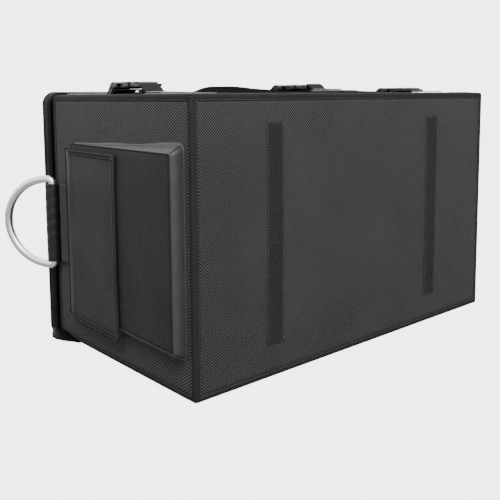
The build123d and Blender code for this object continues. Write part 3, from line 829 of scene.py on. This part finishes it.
tube("end_pocket_face_seam", np.squeeze(front_line) + np.array((-0.35, 0, 0)), 0.75, "bag")
upper_corner = BAY_SIDE - 1 + BAY_CORNER // 2  # the middle point of each rounded corner
lower_corner = upper_corner + BAY_CORNER + BAY_RUN - 2
for word, k in (("upper", upper_corner), ("lower", lower_corner)):
    tube(f"end_pocket_{word}_mitre_seam", strip[k, 2:] + outward[k] * 0.1, 0.45, "bag")
hem_z = np.linspace(FACE_Z0, FACE_Z1, 60)
hem = grid_of(pocket_x(POCKET_Y1) - pillow(POCKET_Y1, hem_z) + 0.6, POCKET_Y1, hem_z)
tube("end_pocket_mouth_hem", hem, 1.1, "bag")

# %% [markdown]
# A broad flap closes the pocket. It is sewn to the wall above the mouth, bends over, and lies down the
# face; a narrow tape binds its three free edges, held by two rows of stitching. It turns on its sewn
# line, so everything on it rides on the flap's own body.

# %% Flap over the end pocket
flap_low, flap_high = extent("end_flap_binding")
FLAP_Y0, FLAP_Z0, FLAP_Z1 = flap_low[1], flap_low[2], flap_high[2]
hinge = next(np.array(j["pos_m"]) / MM for j in frame["joints"] if j["name"] == "end_flap_hinge")
FLAP_LIFT = 2.8  # the flap's middle layer above the pocket's face
BIND = 7.0  # width of the tape round the flap
TURN_Y = 84.0  # from here the flap leaves the face and bends over to the wall
MIDDLE_Z = 150.0  # height at which that bend is worked out


def flap_x(y, z):
    """X of the flap's middle layer where it lies along the pocket."""
    sag = 0.5 * np.sin(z / 17.0) * smoothstep((20 - y) / 40) + 0.35 * np.sin(z / 31.0 + y / 23.0)
    return pocket_x(y) - pillow(y, z) * smoothstep((95 - y) / 25) - FLAP_LIFT - 0.3 * sag


z = np.linspace(FLAP_Z0 + 3, FLAP_Z1 - 3, 56)
turn = [(flap_x(TURN_Y, MIDDLE_Z), TURN_Y), (flap_x(91.0, MIDDLE_Z) - 0.4, 94.0), (-HX - 3.6, 110.5)]
bend = chaikin(turn + [(hinge[0], hinge[1])], 3)
lie = np.linspace(FLAP_Y0 + 3, TURN_Y, 44)[:-1]
y_all = np.concatenate((lie, bend[:, 1]))
sideways = flap_x(TURN_Y, z) - flap_x(TURN_Y, MIDDLE_Z)
over = bend[:, :1] + sideways * (1 - smoothstep((bend[:, 1:] - TURN_Y) / 12))
grid = grid_of(np.concatenate((flap_x(lie[:, None], z), over)), y_all[:, None], z)
flap = surface("end_flap_cloth", grid, flap_cloth, "end_flap", facing=(-1, 0, 0), thick=1.4)
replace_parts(flap, "end_flap")
flap_line, flap_out = bay(TURN_Y + 8, FLAP_Y0, FLAP_Z0, FLAP_Z1, 3.0)
outer_side = [(0.0, 0.9), (-0.3, 0.0), (0.0, -1.2), (1.0, -1.6), (BIND - 1, -1.5), (BIND, -1.0)]
rim_ = chaikin(outer_side + [(BIND, 0.6), (BIND - 1, 1.0), (1.0, 1.2)], 1, True)
y = flap_line[:, None, 0] - rim_[None, :, 0] * flap_out[:, None, 0]
z = flap_line[:, None, 1] - rim_[None, :, 0] * flap_out[:, None, 1]
grid = grid_of(flap_x(y, z) + rim_[None, :, 1] - 0.1, y, z)
binding = surface("end_flap_edge_tape", grid, edge_tape, "end_flap", loop=(False, True), caps=True)
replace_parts(binding, "end_flap_binding")
rows = []
for inset_ in (1.6, BIND - 1.3):
    y, z = (flap_line - inset_ * flap_out).T
    rows.append((grid_of(flap_x(y, z) - 1.65, y, z), (-1, 0, 0)))
stitch_rows("end_flap_stitches", rows, "end_flap", pitch=3.2)
root_row = grid_of(-HX - 1.35, hinge[1] + 4.3, np.linspace(FLAP_Z0 + 4, FLAP_Z1 - 4, 50))
stitch_rows("end_flap_root_stitches", [(root_row, (-1, 0.3, 0))], "bag", pitch=3.2)
root = np.array([(-0.4, 5.5), (-1.2, 4.5), (-2.6, 1.5), (-2.3, -2.5), (-1.2, -3.5)]) + (-HX, hinge[1])
root = chaikin(root, 2)
grid = grid_of(root[:, :1], root[:, 1:], np.linspace(FLAP_Z0, FLAP_Z1, 60))
surface("end_flap_root_tape", grid, edge_tape, "bag", facing=(-1, 0, 0), thick=0.5)
dress(["end_pocket_loop_patch", "end_flap_hook_patch"], pile)

# %% [markdown]
# Each carrying handle is a satin aluminium bar bent to a closed D. Its straight side turns inside a
# padded leather sleeve, and the sleeve's cloth foot is sewn flat to the wall under a stitched patch.
# The bar is a flattened section carried round the D; the sleeve is a tube with a bore for the bar.

# %% Handles
HANDLE_Z = sum(extent("left_handle_sleeve")[k][2] for k in (0, 1)) / 2
PIVOT_OUT, PIVOT_Y = 10, 139.0  # the straight side of the D: out from the wall's plane, and along Y


def bow_line(reach=70.0, half=56.5, knee=5.5, side=30, arc=9, bow=90):
    """Closed D in its own plane (u out from the pivot, v along it): straight side at u=0, two knees of
    radius knee, and half an ellipse from them out to reach."""
    v = np.linspace(half - knee, -(half - knee), side)
    straight = np.stack((0 * v, v), 1)
    a1 = np.linspace(np.pi, 1.5 * np.pi, arc)[1:]
    knee1 = np.stack((knee + knee * np.cos(a1), -(half - knee) + knee * np.sin(a1)), 1)
    a2 = np.linspace(-0.5 * np.pi, 0.5 * np.pi, bow)[1:]
    ellipse = np.stack((knee + (reach - knee) * np.cos(a2), half * np.sin(a2)), 1)
    a3 = np.linspace(0.5 * np.pi, np.pi, arc)[1:-1]
    knee2 = np.stack((knee + knee * np.cos(a3), (half - knee) + knee * np.sin(a3)), 1)
    return np.concatenate((straight, knee1, ellipse, knee2))


def d_handle(name, side, swing, body):
    """The section is a superellipse, |a/A|^2.6 + |b/B|^2.6 = 1, a in the plane of the D and b across it."""
    line = bow_line()
    ahead_ = np.roll(line, -1, 0) - np.roll(line, 1, 0)
    ahead_ /= np.linalg.norm(ahead_, axis=1, keepdims=True)
    normal = np.stack((-ahead_[:, 1], ahead_[:, 0]), 1)
    f = np.linspace(0, 2 * np.pi, 24, endpoint=False)
    power = 2 / 2.6
    a_ = 4.9 * np.sign(np.cos(f)) * np.abs(np.cos(f)) ** power
    b_ = 4.7 * np.sign(np.sin(f)) * np.abs(np.sin(f)) ** power
    u = line[:, None, 0] + normal[:, None, 0] * a_[None]
    v = line[:, None, 1] + normal[:, None, 1] * a_[None]
    w = np.broadcast_to(b_, u.shape)
    c, s_ = math.cos(math.radians(swing)), math.sin(math.radians(swing))
    # u points along +Y swung toward the outside; w is square to the D
    x = side * (HX + PIVOT_OUT) + side * (u * s_ + w * c)
    grid_ = grid_of(x, PIVOT_Y + u * c - w * s_, HANDLE_Z + v)
    return surface(name, grid_, aluminium, body, loop=(True, True))


for side, word, swing in ((-1, "left", 29.5), (1, "right", 20.0)):
    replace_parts(d_handle(f"{word}_handle_bar", side, swing, f"{word}_handle"), f"{word}_handle")

# %% [markdown]
# The sleeve is leather cloth folded round padding and the bar, and sewn to a foot of plain cloth. The
# foot is a patch that steps down from the sleeve to the wall, with a row of stitches round it and a
# short dense bar of thread at each end, where a carried load would tear it first.

# %% Handle sleeves and their patches
SLEEVE_ROUND, SLEEVE_WALL, BORE = 9.4, 8.4, 5.3  # radii: outside, toward the wall, and of the bar's hole


def sleeve(name, side, z_low, z_high):
    """Polar outline r(angle) = min(9.4, 8.4/cos(angle)) about the bar, so that the wall side is flat; carried
    along Z with rolled ends, small creases and a soft waist, and closed through the bar's bore."""
    angle = np.linspace(0, 2 * np.pi, 64, endpoint=False)
    flat = np.where(np.cos(angle) > 0.3, SLEEVE_WALL / np.maximum(np.cos(angle), 0.3), 99)
    outline_ = np.minimum(SLEEVE_ROUND, flat)
    lip_z, lip_in = np.array((0.4, 0.0, 0.25, 0.9)), [3.6, 1.2, 0.45, 0.1]  # the rolled end, ring by ring
    zs = np.concatenate((z_low + lip_z, np.linspace(z_low + 2.2, z_high - 2.2, 60), (z_high - lip_z)[::-1]))
    inset_ = np.concatenate((lip_in, np.zeros(60), lip_in[::-1]))
    k = np.linspace(0, 1, len(zs))
    crease = 0.16 * np.sin(zs[:, None] / 2.3 + 3 * np.sin(angle)[None]) * np.exp(-np.abs(k - 0.5)[:, None] * 1.5)
    waist = 0.35 * np.cos(2 * np.pi * (k - 0.5))[:, None]
    soft = np.where(inset_[:, None] == 0, crease - 0.2 + waist * 0.4, 0) * (flat > 20)
    r = np.concatenate((outline_ - inset_[:, None] + soft, np.full((2, 64), BORE)))
    zs = np.concatenate((zs, [z_high - 6.0, z_low + 6.0]))
    grid_ = grid_of(side * (HX + PIVOT_OUT - r * np.cos(angle)), PIVOT_Y + r * np.sin(angle), zs[:, None])
    return surface(name, grid_, leather, "bag", loop=(True, True))


patch_line = [(0.3, 115.0), (1.9, 115.6), (2.3, 117.5), (4.0, 120.0), (4.7, 124.0), (4.9, 129.0), (4.4, 131.3)]
path = chaikin(patch_line, 2)  # (out from the wall, y)
for side, word in ((-1, "left"), (1, "right")):
    low, high = extent(f"{word}_handle_sleeve")
    made = sleeve(f"{word}_leather_sleeve", side, low[2], high[2])
    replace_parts(made, f"{word}_handle_sleeve")
    zs = np.linspace(low[2] - 0.5, high[2] + 0.5, 50)
    waver = 0.18 * np.sin(zs / 5.3)[None] + 0.12 * np.sin(path[:, 1:] * 0.7)
    grid = grid_of(side * (HX + path[:, :1] + waver), path[:, 1:], zs)
    patch = surface(f"{word}_handle_patch", grid, tab_cloth, "bag", facing=(side, 0, 0), thick=1.4)
    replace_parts(patch, f"{word}_handle_tab")
    za, zb = low[2] + 2.2, high[2] - 2.2
    box = [(side * (HX + out_), y_) for out_, y_ in ((2.75, 117.8), (4.9, 121.5), (5.1, 127.5))]
    rows = [([(*p, za), (*p, zb)], (side, 0, 0)) for p in (box[0], box[2])]
    rows += [([(*p, z_) for p in box], (side, 0, 0)) for z_ in (za, zb)]
    tack = [(side * (HX + out_), y_) for out_, y_ in ((4.6, 119.3), (5.1, 125.5))]
    for zt in (za + 2.5, zb - 2.5):
        rows += [([(*p, zt + d) for p in tack], (side, 0, 0)) for d in (-0.7, 0, 0.7)]
    stitch_rows(f"{word}_handle_patch_stitches", rows, "bag", pitch=3.0)

# %% [markdown]
# The lid is a tray: a board in cloth with a padded side band, the skirt, on three sides. Its fourth
# side is the fold line near the floor, where a cloth band joins it to the back wall. The skirt is a
# padded section carried over an arch; the cover is a rounded plate that crowns a little.

# %% Lid
lid_low, lid_high = extent("lid_cover")
skirt_low, skirt_high = extent("lid_skirt")
LID_HALF, LID_TOP, LID_FOOT = lid_high[0], lid_high[2], lid_low[2]
LID_Y0, LID_Y1 = skirt_low[1], lid_high[1]


def arch(inset, radius=16.0, foot=skirt_low[2], side=40, corner=12, run=60):
    """Line in XZ up the left side, round a corner, across the top and down the right, drawn in by inset."""
    inset = np.atleast_1d(np.asarray(inset, float))
    half, top = LID_HALF - inset, LID_TOP - inset
    r = np.maximum(radius - inset, 1.0)
    t = np.linspace(0, 1, side)[:-1, None]
    up = np.stack((-half + 0 * t, foot + (top - r - foot) * t), -1)
    a_ = np.linspace(np.pi, np.pi / 2, corner)[:, None]
    arc = np.stack((-half + r + r * np.cos(a_), top - r + r * np.sin(a_)), -1)
    t = np.linspace(0, 1, run)[1:-1, None]
    across = np.stack((-half + r + 2 * (half - r) * t, top + 0 * t), -1)
    left = np.concatenate((up, arc))
    right = left[::-1] * (-1, 1)
    return np.concatenate((left, across, right))


# section of the skirt (inset, y): rolled lip at the mouth, flat lining side, seam by the cover, padded flank
lip = [(0.0, 3), (0.25, 0.8), (1.2, 0.05), (2.4, 0.1), (3.4, 0.9), (3.6, 3), (3.6, 12)]
by_cover = [(3.5, -5), (3.4, -2.2), (2.0, -1.5), (0.5, -1.5), (0.3, -3), (-0.3, -6), (-0.6, -10)]
section = [(q, LID_Y0 + y_) for q, y_ in lip] + [(q, LID_Y1 + y_) for q, y_ in by_cover] + [(-0.5, LID_Y0 + 6)]
section = chaikin(section, 2, True)
outline = arch(section[:, 0])
k = np.arange(len(outline))[:, None]
slack = 0.25 * np.sin(k * 0.37) + 0.2 * np.sin(k * 0.11 + 1)
drift = slack * np.clip((3.0 - section[None, :, 0]) / 3.0, 0, 1)
direction = outline - np.array((0, 160.0))  # away from the lid's middle
direction /= np.linalg.norm(direction, axis=-1, keepdims=True)
outline = outline + direction * drift[..., None] * 0.6
skirt = grid_of(outline[..., 0], section[:, 1], np.maximum(outline[..., 1], 0.2))
made = surface("lid_padded_skirt", skirt, lid_cloth, "lid", loop=(False, True), caps=True)
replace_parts(made, "lid_skirt")


def lid_outline(inset, foot_radius=8.0):
    """The lid's whole outline: the arch, then two tight corners and the run along the fold line."""
    body_ = np.squeeze(arch(inset, foot=LID_FOOT + foot_radius))
    half = LID_HALF - inset
    r = foot_radius - inset
    a_ = np.linspace(0, -np.pi / 2, 8)[1:]
    c_ = np.stack((half - r + r * np.cos(a_), LID_FOOT + foot_radius + r * np.sin(a_)), 1)
    t_ = np.linspace(1, -1, 60)[1:-1]
    foot_ = np.stack(((half - r) * t_, np.full(58, c_[-1, 1])), 1)
    return np.concatenate((body_, c_, foot_, c_[::-1] * (-1, 1)))


def plate(inset, y_edge, crown_, out, nu=90, nv=60, top_radius=16.0, foot_radius=8.0):
    """Rows at height z run over x = u*half(z): half shrinks as a circle does in the rounded corners. The
    height is crown*(1-u^4)(1-w^4) plus soft ripples that die at the border."""
    low, high = LID_FOOT + inset, LID_TOP - inset
    u, k_ = np.meshgrid(np.linspace(-1, 1, nu), np.linspace(0, np.pi, nv), indexing="ij")
    w = -np.cos(k_)
    z = (low + high) / 2 + (high - low) / 2 * w
    half = LID_HALF - inset + 0 * z
    for r, into in ((top_radius - inset, z - high), (foot_radius - inset, low - z)):
        d = np.clip(1 + into / r, 0, 1)
        half -= r * (1 - np.sqrt(1 - d * d))
    x = u * half
    border = (1 - u**4) * (1 - w**4)
    waves = 0.35 * np.sin(x / 41) * np.sin(z / 37 + 1) + 0.25 * np.sin(x / 23 + z / 31)
    return np.stack((x, y_edge + out * border * (crown_ + waves), z), -1)


def map_flat(made, axes):
    """Lays the cloth map straight on the piece: map position = two of the object's own coordinates."""
    co = np.zeros(len(made.data.vertices) * 3, np.float32)
    made.data.vertices.foreach_get("co", co)
    which = np.zeros(len(made.data.loops), np.int32)
    made.data.loops.foreach_get("vertex_index", which)
    made.data.uv_layers["cloth"].data.foreach_set("uv", co.reshape(-1, 3)[which][:, axes].reshape(-1))


grid = plate(0.3, LID_Y1, 1.6, 1)
made = surface("lid_cover_cloth", grid, oxford, "lid", facing=(0, 1, 0), thick=0.8)
map_flat(made, [0, 2])
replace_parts(made, "lid_cover")
edge_x, edge_z = lid_outline(0.3).T
tube("lid_piping", grid_of(edge_x, LID_Y1 - 0.6, np.maximum(edge_z, 1.2)), 1.1, "lid", sides=8, loop=True)

grid = plate(3.8, extent("lid_lining")[0][1] + 0.2, 0.8, -1)
made = surface("lid_lining_cloth", grid, lining_cloth, "lid", facing=(0, -1, 0), thick=0.6)
map_flat(made, [0, 2])
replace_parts(made, "lid_lining")

# stitches along the skirt: one row by the cover, one by the lip
rows = []
for inset_, yy in ((0.1, LID_Y1 - 3.6), (-0.35, LID_Y0 + 5.0)):
    line = np.squeeze(arch(inset_))
    normal = np.squeeze(arch(inset_ - 5)) - line
    normal /= np.linalg.norm(normal, axis=1, keepdims=True)
    rows.append((grid_of(line[:, 0], yy, line[:, 1]), grid_of(normal[:, 0], 0, normal[:, 1])))
stitch_rows("lid_skirt_stitches", rows, "lid", material=edge_tape)

# %% [markdown]
# A cloth band joins the lid to the back wall. It lies under the bag, then turns up at the fold line
# to the foot of the cover. That last part belongs to neither body: on the real bag it bends between
# them as the lid swings down. Here it is left on neither body.

# %% Hinge band
under = [(YR - 2.0, 0.3), (YR + 6, 0.25), (YR + 12, 0.25), (LID_Y1 - 2.2, 0.3), (LID_Y1 - 0.4, 0.5)]
turned_up = [(LID_Y1 + 0.1, 2.0), (LID_Y1 + 0.15, 5.0), (LID_Y1 + 0.35, 9.0)]
path = resample(chaikin(under + turned_up, 3), count=34)
grid = grid_of(np.linspace(-HX + 2.5, HX - 2.5, 70), path[:, :1], path[:, 1:])
shift = np.gradient(path, axis=0)
shift /= np.linalg.norm(shift, axis=1, keepdims=True)
inward = np.stack((np.zeros(len(path)), -shift[:, 1], shift[:, 0]), 1)[:, None]
shell = np.concatenate((grid, (grid + 0.9 * inward)[::-1]))
made = surface("hinge_band_cloth", shell, smooth_cloth, None, loop=(True, False))
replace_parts(made, "hinge_band")
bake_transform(made)

# %% [markdown]
# Where the skirt ends at the fold line, spare cloth is left over so that the lid can swing down. With
# the lid shut it droops into a soft fold that lies on the floor beside the corner. Its section is a
# rounded lens, carried along a line that swells out of the corner and dies away along the wall.

# %% Corner folds at the foot of the lid
# stations of the fold: (y, how far it reaches out of the wall, how high it stands)
stations = [(LID_Y1 - 2, 4, 12.5), (158, 8, 11), (148, 14.5, 10), (138, 18.5, 9.5)]
stations += [(128, 18, 8.5), (116, 12, 6), (105, 3.5, 3), (99, 0.5, 0.9)]
fold_line = chaikin(stations, 3)
turn_ = np.linspace(0, 2 * np.pi, 28, endpoint=False)
for side, word in ((-1, "left"), (1, "right")):
    y_f, reach_f, height_f = fold_line[:, :1], fold_line[:, 1:2], fold_line[:, 2:]
    lens_x = np.sign(np.cos(turn_)) * np.abs(np.cos(turn_)) ** 0.9
    lens_z = np.sign(np.sin(turn_)) * np.abs(np.sin(turn_)) ** 0.8
    out_f = HX - 2 + (reach_f + 2) * (0.5 + 0.5 * lens_x)
    up_f = height_f * (0.5 + 0.5 * lens_z) * (1 - 0.45 * (0.5 + 0.5 * lens_x)) + 0.15
    ruck = 0.35 * np.sin(y_f * 0.55 + 2 * turn_) * (reach_f / 18)
    grid = grid_of(side * (out_f + ruck), y_f, np.maximum(up_f, 0.15))
    made = surface(f"{word}_lid_corner_fold", grid, lid_cloth, None, loop=(False, True), caps=True)
    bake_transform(made)

# %% [markdown]
# Inside, a smooth lining covers the boards: a band round the four walls and a floor. The walls are
# carried round a rounded rectangle; the floor is a crowned sheet.

# %% Lining
WALL = 5.6  # a wall's whole thickness
in_low, in_high = extent("lining")
down = np.linspace(in_high[1] - 12, in_low[1] + 7, 14)
rows_y = np.concatenate(([in_high[1] - 3.5], down, in_low[1] + np.array((4.0, 2.4, 1.2))))
bow = WALL + 0.5 + 0.5 * np.sin(np.linspace(0, np.pi, 14))
pull = np.concatenate(([WALL + 0.2], bow, WALL + np.array((0.8, 1.6, 3.4))))
outline = ring(pull, 9.0)
sag = 0.5 * np.sin(np.arange(len(outline)) * 0.23)[:, None] * np.sin(np.linspace(0, np.pi, len(pull)))[None]
toward = np.array((0, WIDTH / 2)) - outline
toward /= np.linalg.norm(toward, axis=-1, keepdims=True)
outline = outline + toward * np.abs(sag)[..., None]
grid = grid_of(outline[..., 0], rows_y, outline[..., 1])
made = surface(
    "lining_walls_cloth", grid, lining_cloth, "bag", loop=(True, False), thick=0.5, smooth=0
)
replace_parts(made, "lining")
boards = ["front_board", "back_board", "left_end_board", "right_end_board"]
a, b, h = wall_grid(2 * (HX - WALL - 1.5), WIDTH - 2 * (WALL + 1.5), 1.2, 0.3, 0.2, 9.0)
grid = grid_of(a - HX + WALL + 1.5, in_low[1] + 1.4 + h, b + WALL + 1.5)
made = surface("lining_floor_cloth", grid, lining_cloth, "bag", facing=(0, 1, 0), thick=0.5)
print("lining round the walls and floor, depth", round(in_high[1] - in_low[1], 1))

# %% [markdown]
# The front wall carries a wide pocket that its closing strap draws in along the middle, so that two
# soft lobes stand up with a channel between them. One height over the wall gives the whole pocket.

# %% Front pocket
fp_low, fp_high = extent("front_pocket")
LOBE = fp_high[2] - WIDTH
CHANNEL = 2.6  # height of the pocket along its middle, under the strap


def lobe_height(x, y):
    """Two lobes with rounded shoulders, a channel between them, rising from the base-side seam and full
    at the mouth, which gapes a little in the middle of each lobe."""
    ax = np.abs(x)
    outer_ = smoothstep((fp_high[0] - ax) / 48) ** 0.8
    inner_ = smoothstep((ax - 17) / 12) ** 0.8
    end_ = smoothstep((y - fp_low[1]) / 14) ** 0.6
    swell = 0.12 + 0.88 * np.clip((y - fp_low[1]) / (fp_high[1] - fp_low[1]), 0, 1) ** 1.5
    crown_ = 0.72 + 0.28 * np.sin(np.pi * np.clip((ax - 19) / (fp_high[0] - 19), 0, 1)) ** 0.7
    gape = 1 + 0.16 * smoothstep((y - fp_high[1] + 50) / 50)
    folds = 0.35 * np.sin(x / 9 + y / 21) + 0.25 * np.sin(y / 13 - x / 31)
    lobe = (LOBE - CHANNEL) * inner_ * crown_ * gape * swell + folds * inner_ * swell
    return (CHANNEL * (0.45 + 0.55 * swell) + lobe) * outer_ * end_ + 0.2


x, y = np.meshgrid(np.linspace(fp_low[0], fp_high[0], 110), np.linspace(fp_low[1], fp_high[1], 70), indexing="ij")
ground = crown(x - wall_x0, y - wall_y0, *FRONT)
from_seam = np.minimum(fp_high[0] - np.abs(x), y - fp_low[1])
height = np.maximum(lobe_height(x, y), ground * (1 - smoothstep(from_seam / 20)) + 0.3)
grid = grid_of(x, y, WIDTH + height)
made = surface("front_pocket_cloth", grid, front_oxford, "bag", facing=(0, 0, 1), thick=0.9)
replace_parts(made, "front_pocket")
tube("front_pocket_mouth_binding", grid[:, -1] + np.array((0, 0.4, -0.2)), 1.3, "bag", sides=8)
u_line, _ = bay(fp_high[1] - 1, fp_low[1] + 2.5, fp_low[0] + 2.5, fp_high[0] - 2.5, 6.0)
y, x = u_line.T
stitch_rows("front_pocket_stitches", [(grid_of(x, y, WIDTH + lobe_height(x, y) + 0.2), (0, 0, 1))], "bag")

# %% [markdown]
# Three straps cross the front wall. Polypropylene webbing is 25 mm wide and 1.4 mm thick; each piece is
# a rounded section carried along its line in YZ: flat along the wall, up over a buckle's bar and back. A
# short dark sleeve of tape keeps two of the loose tails down behind their buckles, and rides on the
# tongue half.

# %% Webbing
WEB = 25.0
WEB_THICK = 1.4
BAR_UP = 4.7  # middle of a buckle's bar above the buckle's lowest point
TAIL_UP = 2.9  # middle of a loose tail above the cloth
UP = (0, 0, 1)


def ribbon(name, x, line, body, width=WEB, thick=WEB_THICK, material=None):
    """line: points (y, z) of the webbing's middle. The section is a flat band with rounded edges."""
    line = resample(chaikin(line, 3), 1.6)
    ahead_ = np.gradient(line, axis=0)
    ahead_ /= np.linalg.norm(ahead_, axis=1, keepdims=True)
    up_ = np.stack((-ahead_[:, 1], ahead_[:, 0]), 1)
    h, w = thick / 2, width / 2
    edge = np.array([(-w, -h * 0.35), (-w + 0.25, -h * 0.9), (-w + 0.9, -h)])
    level_ = np.stack((np.linspace(-w + 3, w - 3, 9), np.full(9, -h)), 1)
    half = np.concatenate((edge, level_, edge[::-1] * (-1, 1)))
    across_, rise_ = np.concatenate((half, half[::-1] * (1, -1))).T
    y_, z_ = (line[:, None, k] + up_[:, None, k] * rise_ for k in (0, 1))
    grid_ = grid_of(x + across_, y_, z_)
    return surface(name, grid_, material or webbing, body, loop=(False, True), caps=True)


def bar_loop(y, z, out, reach=3.45, gap=3.0):
    """Line of the webbing round a buckle bar centred at y, z: in from below, round, and out over the top."""
    angle = np.linspace(-0.5 * np.pi, 0.5 * np.pi, 7)
    return [(y + out * (reach * math.cos(q)), z + gap * math.sin(q)) for q in angle]


for word in ("left", "middle", "right"):
    low, high = extent(f"{word}_buckle_socket")
    tongue_y = extent(f"{word}_buckle_tongue")[0][1]
    top_y = extent(f"{word}_strap_upper")[1][1]
    tail_y = extent(f"{word}_strap_tail")[0][1]
    x = (low[0] + high[0]) / 2
    bar_z = low[2] + BAR_UP
    ground = WIDTH + (2.9 if word == "middle" else -0.1)  # the middle strap lies on the pocket
    flat = ground + 0.9
    bar_y = high[1] - 2.0
    line = [(top_y, WIDTH + 1.4)]
    if word == "middle":
        line += [(fp_high[1] + 14, WIDTH + 1.5), (fp_high[1] + 3, flat + 0.6)]
    line += [(bar_y + 24, flat + 0.4), (bar_y + 15, flat + 0.8), (bar_y + 7, bar_z + 3.0)]
    line += [(bar_y, bar_z + 3.0)] + bar_loop(bar_y, bar_z, -1)[::-1]
    line += [(bar_y + 3, bar_z - 3.0), (bar_y + 12, flat + 1.0 - 1.2)]
    made = ribbon(f"{word}_upper_webbing", x, line, "bag")
    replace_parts(made, f"{word}_strap_upper")
    bar_y = tongue_y + 2.0
    if word == "middle":  # over the bar, where the pocket leaves no room under it
        climb = [(bar_y - 8, ground + 3.1), (bar_y - 1.5, bar_z + 2.7), (bar_y, bar_z + 3.0)]
        around = bar_loop(bar_y, bar_z, 1)[:1:-1]
    else:
        climb = [(bar_y - 9, ground + 3.0), (bar_y - 2.5, bar_z - 3.2), (bar_y, bar_z - 3.1)]
        around = bar_loop(bar_y, bar_z, 1, gap=3.1)[1:6]
    line = [(tail_y, ground + TAIL_UP), (bar_y - 13, ground + TAIL_UP)] + climb + around
    made = ribbon(f"{word}_tail_webbing", x, line, f"{word}_tongue")
    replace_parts(made, f"{word}_strap_tail")
    if word != "right":
        keeper = [(bar_y - 11, ground + 3.2), (bar_y - 9, ground + 3.3)] + [(y_, z_ + 0.2) for y_, z_ in climb[1:]]
        ribbon(f"{word}_tail_keeper", x, keeper, f"{word}_tongue", WEB + 1.6, WEB_THICK + 1.0, edge_tape)
    lo_low, lo_high = extent(f"{word}_strap_lower")
    line = [(lo_low[1], flat), (lo_low[1] + 20, flat), (lo_high[1] - 10, flat), (lo_high[1], flat)]
    # under the left buckle a dark tape sheet rises to meet it: a cloth backing whose darkness stands in for the painted
    # shadow below the buckle
    if word == "left":
        under = low[2] - 1.2
        painted_shadow_backing = [(tongue_y - 2, flat + 1.4), (tongue_y + 0.5, flat + 2.0), (tongue_y + 3, under)]
        painted_shadow_backing += [(high[1] - 16, under), (high[1] - 8, under), (high[1] - 3, flat + 2.0), (high[1] + 3, flat + 1.4)]
        ribbon("left_buckle_painted_shadow_backing", x, painted_shadow_backing, "bag", width=WEB + 5, material=edge_tape)
    made = ribbon(f"{word}_lower_webbing", x, line, "bag")
    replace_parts(made, f"{word}_strap_lower")
    # each end of the strap is sewn down with a box of stitches 20 mm square, with a cross in it
    rows = []
    over, under = WIDTH + 2.1, flat + 0.75
    inner_end = over + (0.1 if word == "middle" else 0)
    bars = ((top_y - 4, over), (top_y - 24, inner_end), (lo_low[1] + 4, under), (lo_low[1] + 24, under))
    for y_, z_ in bars:
        rows.append(([(x - 10, y_, z_), (x + 10, y_, z_)], UP))
    for a_, b_, z_ in ((top_y - 24, top_y - 4, over), (lo_low[1] + 4, lo_low[1] + 24, under)):
        for p, y_, q, y2_ in ((-10, a_, 10, b_), (-10, b_, 10, a_), (-10, a_, -10, b_), (10, a_, 10, b_)):
            rows.append(([(x + p, y_, z_), (x + q, y2_, z_)], UP))
    stitch_rows(f"{word}_strap_stitches", rows, "bag", pitch=3.0)
dress([f"{w}_buckle_{part}" for w in ("left", "middle", "right") for part in ("socket", "tongue")], acetal, 0.5)

# %% [markdown]
# A short flap on the lid's skirt overlaps the front wall and holds by hook-and-loop. It is a doubled
# cloth with rounded corners, bound like the rest, riding on the lid.

# %% Closure flap
cf_low, cf_high = extent("lid_closure_flap")


def tongue_grid(nx=50, ny=24, radius=14.0):
    """Rectangle whose two free corners are rounded: the half width shrinks near the free end as a circle
    of the given radius does."""
    v_ = np.linspace(0, 1, ny)[None, :]
    u_ = np.linspace(-1, 1, nx)[:, None]
    y_ = cf_low[1] + (cf_high[1] + 2 - cf_low[1]) * v_**1.3
    depth_ = np.clip(1 - (y_ - cf_low[1]) / radius, 0, 1)
    half = cf_high[0] - radius * (1 - np.sqrt(np.maximum(1 - depth_**2, 0)))
    x_ = u_ * half
    return grid_of(x_, y_, cf_high[2] - 0.9 + 0.5 * np.sin(np.pi * v_) + 0.25 * np.sin(x_ / 19) * (1 - v_))


grid = tongue_grid()
made = surface("closure_flap_cloth", grid, smooth_cloth, "lid", facing=(0, 0, 1), thick=1.2)
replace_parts(made, "lid_closure_flap")
border = np.concatenate((grid[0, ::-1], grid[1:-1, 0], grid[-1]))
tube("closure_flap_binding", border + np.array((0, 0, -0.6)), 1.15, "lid", sides=8)
inner_line = border * (0.955, 1, 1) + (0, 4.0, 0)
stitch_rows("closure_flap_stitches", [(inner_line[4:-4] + np.array((0, 0, 0.1)), UP)], "lid")
dress(["lid_hook_tape", "front_loop_tape"], pile)

# %% [markdown]
# The boards stay plain imported nodes: nobody sees them unless a cloth is lifted, so they only get their
# finish.

# %% Finish of the boards
dress(boards + ["base_board", "lid_board"], fibreboard)
